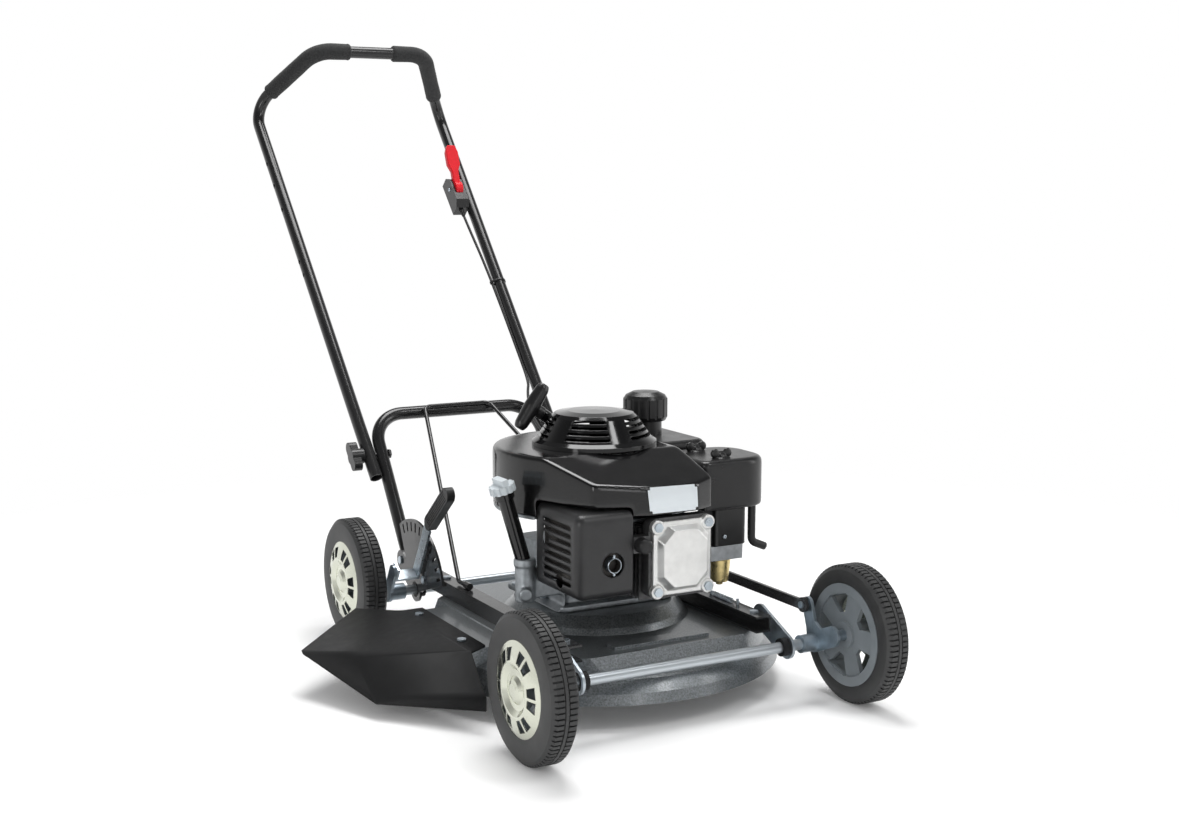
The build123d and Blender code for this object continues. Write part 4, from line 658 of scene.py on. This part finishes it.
def softened(name, mesh, finish, voxel, rounds, hold=None):
    """Join closed shells to one skin with its edges rounded off, as on a moulding or a casting, in place
    of a node of the chassis. hold gives how far a point may be rounded, 0 to 1."""
    made = bpy.data.objects.new(f"{name}_form", mesh)
    made.matrix_world = nodes[name].matrix_world
    bpy.context.collection.objects.link(made)
    cells = made.modifiers.new("cells", "REMESH")
    cells.mode = "VOXEL"
    cells.voxel_size = voxel
    mesh = evaluated(made)
    even = made.modifiers.new("even", "SMOOTH")
    even.factor = SMOOTH_FACTOR
    even.iterations = rounds
    if hold:
        held = made.vertex_groups.new(name="rounded")
        for vertex in mesh.vertices:
            held.add([vertex.index], hold(vertex.co), "REPLACE")
        even.vertex_group = "rounded"
    mesh = evaluated(made)
    made.vertex_groups.clear()
    mesh.materials.clear()
    mesh.materials.append(finish)
    for face in mesh.polygons:
        face.use_smooth = True
    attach(made, "chassis")
    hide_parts(name)


def shell(bm):
    """A mesh of a bmesh's closed shells, faces outwards."""
    bmesh.ops.recalc_face_normals(bm, faces=bm.faces)
    mesh = bpy.data.meshes.new("shell")
    bm.to_mesh(mesh)
    bm.free()
    return mesh


def prism(bm, *ends):
    """A closed prism along Y between two outlines of (x, z) points, each with its y."""
    rings = [[bm.verts.new((x, y, z)) for x, z in outline] for outline, y in ends]
    join_rings(bm, rings)
    for outline in rings:
        bm.faces.new(outline)


def drum(bm, at, axis, radius, length):
    """A closed cylinder."""
    lathe(bm, at, axis, [(0, 0), (0, radius), (length, radius), (length, 0)], DRUM_TURNS)


def ramp_up(value, low, high):
    """A smooth step from 0 to 1."""
    t = min(1, max(0, (value - low) / (high - low)))
    return t * t * (3 - 2 * t)


# The shroud stays sharp at its foot and round the starter cover; distances over which that ends
SHROUD_FOOT = (0.003, 0.022)
SHROUD_STARTER = (0.001, 0.012)

starter_low, starter_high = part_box("recoil_cover")
starter_at = (starter_low + starter_high) / 2
starter_reach = (starter_high.x - starter_low.x) / 2


def shroud_hold(co):
    """How far a point of the shroud may be rounded."""
    away = math.hypot(co.x - starter_at.x, co.y - starter_at.y) - starter_reach
    return ramp_up(co.z - shroud_low.z, *SHROUD_FOOT) * ramp_up(away, *SHROUD_STARTER)


# Node, finish, slot, voxel, rounds of smoothing and hold
for name, finish, slot, voxel, rounds, hold in (
    ("engine_shroud", shroud_black, "black_plastic", 0.0017, 60, shroud_hold),
    ("air_cleaner", satin, "black_plastic", 0.0015, 30, None),
    ("linkage_cover", satin, "black_plastic", 0.0012, 8, None),
    ("carburettor", carburettor_metal, "cast_aluminium", 0.0010, 8, None),
    ("muffler_guard", guard_black, "black_paint", 0.0009, 14, None),
):
    softened(name, nodes[name].data.copy(), finish, voxel, rounds, hold)

# The starter grip, as thick as a hand needs
GRIP_SWELL = 0.003

bm = bmesh.new()
bm.from_mesh(nodes["recoil_grip"].data)
bmesh.ops.remove_doubles(bm, verts=bm.verts, dist=WELD)
bm.normal_update()
swollen = [vertex.co + vertex.normal * GRIP_SWELL for vertex in bm.verts]
for vertex, co in zip(bm.verts, swollen):
    vertex.co = co
softened("recoil_grip", shell(bm), satin, 0.0010, 8)

# The crankcase, with a round boss and web under the oil filler in place of the square pad
PAD_X, PAD_Y, PAD_Z = -0.086, (-0.081, -0.043), (0.1275, 0.21)
WALL_X = -0.0845
FILLER_X, FILLER_Y = -0.1425, -0.066
BOSS_Z, BOSS_RADIUS, BOSS_LONG = 0.139, 0.0145, 0.0645
COLLAR_Z, COLLAR_RADIUS, COLLAR_LONG = 0.192, 0.0165, 0.011
PLUG_AT, PLUG_WAY, PLUG_RADIUS, PLUG_LONG = (-0.146, -0.074, 0.153), (-0.35, -0.94, 0), 0.0095, 0.013
WEB_LOW, WEB_HIGH = (-0.146, -0.074, 0.143), (-0.080, -0.058, 0.188)

bm = bmesh.new()
bm.from_mesh(nodes["crankcase"].data)
for vertex in bm.verts:
    x, y, z = vertex.co
    if x < PAD_X and PAD_Y[0] < y < PAD_Y[1] and PAD_Z[0] < z < PAD_Z[1]:
        vertex.co.x = WALL_X
drum(bm, (FILLER_X, FILLER_Y, BOSS_Z), (0, 0, 1), BOSS_RADIUS, BOSS_LONG)
drum(bm, (FILLER_X, FILLER_Y, COLLAR_Z), (0, 0, 1), COLLAR_RADIUS, COLLAR_LONG)
drum(bm, PLUG_AT, PLUG_WAY, PLUG_RADIUS, PLUG_LONG)
block(bm, WEB_LOW, WEB_HIGH)
softened("crankcase", shell(bm), cast, 0.0016, 9)

# The valve cover, with its eight-sided dome and four ears: half width, half height and cut corner
FLANGE = (0.0475, 0.053, 0.012)
DOME_FOOT = (0.0435, 0.048, 0.017)
DOME_TOP = (0.036, 0.0405, 0.018)
FLANGE_THICK, DOME_SUNK = 0.0062, 0.003
EAR_X, EAR_Z, EAR_RADIUS, EAR_THICK = 0.0415, 0.0465, 0.0103, 0.0092

cover_low, cover_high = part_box("valve_cover")
cover_middle = (cover_low + cover_high) / 2


def octagon(half_x, half_z, cut):
    """An outline round the middle of the valve cover."""
    corners = (
        (half_x, half_z - cut), (half_x - cut, half_z), (cut - half_x, half_z), (-half_x, half_z - cut),
        (-half_x, cut - half_z), (cut - half_x, -half_z), (half_x - cut, -half_z), (half_x, cut - half_z),
    )
    return [(cover_middle.x + x, cover_middle.z + z) for x, z in corners]


bm = bmesh.new()
prism(bm, (octagon(*FLANGE), cover_high.y), (octagon(*FLANGE), cover_high.y - FLANGE_THICK))
prism(bm, (octagon(*DOME_FOOT), cover_high.y - DOME_SUNK), (octagon(*DOME_TOP), cover_low.y))
for x in (-EAR_X, EAR_X):
    for z in (-EAR_Z, EAR_Z):
        at = (cover_middle.x + x, cover_high.y, cover_middle.z + z)
        drum(bm, at, (0, -1, 0), EAR_RADIUS, EAR_THICK)
softened("valve_cover", shell(bm), cover_silver, 0.0009, 7)

# The chute's moulded skin, with rounded creases
CHUTE = {
    "in_front": (-0.226, -0.108, 0.0965), "in_rear": (-0.226, 0.118, 0.0965),
    "edge_rear": (-0.262, 0.118, 0.0965), "corner": (-0.262, -0.108, 0.0965),
    "rear": (-0.305, 0.195, 0.08747), "tip": (-0.429, 0.097, 0.06143), "ridge": (-0.371, 0.012, 0.07361),
    "foot": (-0.371, -0.067, 0.028), "front": (-0.262, -0.185, 0.05204), "low": (-0.262, -0.185, 0.028),
}
CHUTE_FACES = (
    ("in_front", "in_rear", "edge_rear", "corner"), ("corner", "edge_rear", "rear", "tip", "ridge"),
    ("corner", "ridge", "foot", "front"), ("ridge", "tip", "foot"), ("foot", "low", "front"),
)
CHUTE_CREASE, CHUTE_SHEET = 0.007, 0.0034

bm = bmesh.new()
corners = {name: bm.verts.new(co) for name, co in CHUTE.items()}
for names in CHUTE_FACES:
    bm.faces.new([corners[name] for name in names])
bm.normal_update()
creases = [e for e in bm.edges if len(e.link_faces) == 2]
bmesh.ops.bevel(
    bm, geom=creases, offset=CHUTE_CREASE, segments=5, profile=0.5, affect="EDGES", clamp_overlap=True
)
chute = piece("chute_form", bm, grained, None, 30)
if chute.data.polygons[0].normal.z < 0:
    chute.data.flip_normals()
skin = chute.modifiers.new("sheet", "SOLIDIFY")
skin.thickness = CHUTE_SHEET
skin.offset = -1
skin.use_even_offset = True
evaluated(chute)
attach(chute, "chassis")
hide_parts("chute")

# The bright collar of the muffler outlet, with its two tabs
OUTLET_X, OUTLET_Y, OUTLET_Z = -0.075, -0.199, 0.214
OUTLET_PROFILE = [
    (0, 0.0112), (0.0102, 0.0112), (0.0108, 0.0109), (0.0112, 0.0104), (0.0108, 0.0097), (0, 0.0093),
    (0, 0.0112),
]
OUTLET_TURNS = 40
TAB_Y, TAB_OFF, TAB_EDGE = -0.2075, 0.0125, 0.0006
TAB_SIZE = Vector((0.0036, 0.0022, 0.005))

bm = bmesh.new()
lathe(bm, (OUTLET_X, OUTLET_Y, OUTLET_Z), (0, -1, 0), OUTLET_PROFILE, OUTLET_TURNS)
for up in (1, -1):
    at = Vector((OUTLET_X, TAB_Y, OUTLET_Z + up * TAB_OFF))
    tab = block(bm, at - TAB_SIZE / 2, at + TAB_SIZE / 2)
    edges = list({e for v in tab for e in v.link_edges})
    bmesh.ops.bevel(bm, geom=edges, offset=TAB_EDGE, segments=2, affect="EDGES")
piece("outlet_collar", bm, zinc, "chassis", 30)

# Round ears on the two wing nuts of the air cleaner
NUT_X, NUT_YS = 0.146, (-0.137, -0.068)
WING_OFF, WING_DOWN, WING_HALF, WING_TURNS = 0.0105, 0.004, 0.0029, 24
WING_PROFILE = [
    (0, 0), (0, 0.0052), (0.0008, 0.0066), (0.0022, 0.0072), (0.0036, 0.0072), (0.0050, 0.0066),
    (0.0058, 0.0052), (0.0058, 0),
]

cleaner_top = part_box("air_cleaner")[1].z
bm = bmesh.new()
for y in NUT_YS:
    for x in (-WING_OFF, WING_OFF):
        lathe(bm, (NUT_X + x, y - WING_HALF, cleaner_top - WING_DOWN), (0, 1, 0), WING_PROFILE, WING_TURNS)
piece("wing_ears", bm, satin, "chassis", 40)

# Floor: paper that fades out into the white of the room, a little lifted for the camera
FLOOR_HALF = 12
FLOOR_FADE = (0.9, 1.8)
FLOOR_LIFT = 0.06

floor_mesh = bpy.data.meshes.new("floor")
floor_corners = [(x * FLOOR_HALF, y * FLOOR_HALF, 0) for x, y in ((-1, -1), (1, -1), (1, 1), (-1, 1))]
floor_mesh.from_pydata(floor_corners, [], [(0, 1, 2, 3)])
floor = bpy.data.objects.new("floor", floor_mesh)
bpy.context.collection.objects.link(floor)
floor_paper = material(
    "floor_paper", (0.95, 0.95, 0.95), rough=(0.95, 0.08, 60.0), mottle=(2.0, 0.004), spec=0.1
)
floor_mesh.materials.append(floor_paper)
paper = floor_paper.node_tree
paper_shader = paper.nodes["Principled BSDF"]
where = add_node(paper, "TexCoord").outputs["Object"]
reach = add_node(paper, "VectorMath", {0: where}, operation="LENGTH").outputs["Value"]
fade = map_range(paper, reach, FLOOR_FADE, (1.0, 0.0), "SMOOTHSTEP")
lift = calculate(paper, "MULTIPLY", add_node(paper, "LightPath").outputs["Is Camera Ray"], FLOOR_LIFT)
paper_shader.inputs["Emission Color"].default_value = (1, 1, 1, 1)
paper.links.new(fade, paper_shader.inputs["Alpha"])
paper.links.new(lift, paper_shader.inputs["Emission Strength"])

# Room: even light for diffuse rays; camera and mirror rays see white, darker overhead, and mirror rays
# also see it dimmer behind the camera
ROOM_LIGHT = 0.5
DOME_RISE, DOME_DARK = (0.12, 0.65), 0.15
VIEW_WAY = (0.48, 0.877, 0)
BEHIND_TURN, BEHIND_DIM = (-0.45, 0.2), 0.75

world = bpy.data.worlds.new("studio")
bpy.context.scene.world = world
world.use_nodes = True
sky = world.node_tree
sky.nodes.clear()
rays = add_node(sky, "LightPath").outputs
heading = add_node(sky, "TexCoord").outputs["Generated"]
rise = add_node(sky, "SeparateXYZ", {"Vector": heading}).outputs["Z"]
dome = map_range(sky, rise, DOME_RISE, (1.0, DOME_DARK), "SMOOTHSTEP")
facing = add_node(sky, "VectorMath", {0: heading, 1: VIEW_WAY}, operation="DOT_PRODUCT").outputs["Value"]
behind = map_range(sky, facing, BEHIND_TURN, (BEHIND_DIM, 1.0), "SMOOTHSTEP")
open_side = calculate(sky, "MAXIMUM", behind, rays["Is Camera Ray"])
shade = calculate(sky, "MULTIPLY", dome, open_side)
mirrored = calculate(sky, "MAXIMUM", rays["Is Glossy Ray"], rays["Is Transmission Ray"])
shown = calculate(sky, "MAXIMUM", rays["Is Camera Ray"], mirrored)
room = add_node(sky, "Background", {"Color": (1, 1, 1, 1), "Strength": ROOM_LIGHT}).outputs["Background"]
seen = add_node(sky, "Background", {"Color": shade, "Strength": 1.0}).outputs["Background"]
choose = add_node(sky, "MixShader", {"Fac": shown, 1: room, 2: seen}).outputs["Shader"]
add_node(sky, "OutputWorld", {"Surface": choose})


# Lamps
def softbox(name, at, aim, width, height, power):
    """A rectangular lamp that the camera doesn't see."""
    lamp = bpy.data.lights.new(name, "AREA")
    lamp.shape = "RECTANGLE"
    lamp.size, lamp.size_y = width, height
    lamp.energy = power
    holder = bpy.data.objects.new(name, lamp)
    holder.location = at
    holder.rotation_euler = (Vector(aim) - Vector(at)).to_track_quat("-Z", "Y").to_euler()
    holder.visible_camera = False
    bpy.context.collection.objects.link(holder)


softbox("top", (0.4, 0.9, 3.2), (0, 0.1, 0), width=1.9, height=1.7, power=76)
softbox("left", (-2.35, -1.25, 0.95), (0, 0, 0.4), width=0.45, height=1.7, power=13)
softbox("front", (-0.1, -2.7, 1.2), (0, 0, 0.4), width=0.3, height=1.6, power=3.5)
softbox("right", (2.2, -1.4, 1.3), (0.1, 0, 0.35), width=0.45, height=1.8, power=11)
softbox("strip", (0.9, -1.6, 2.5), (0, 0, 0.38), width=0.35, height=1.0, power=11)
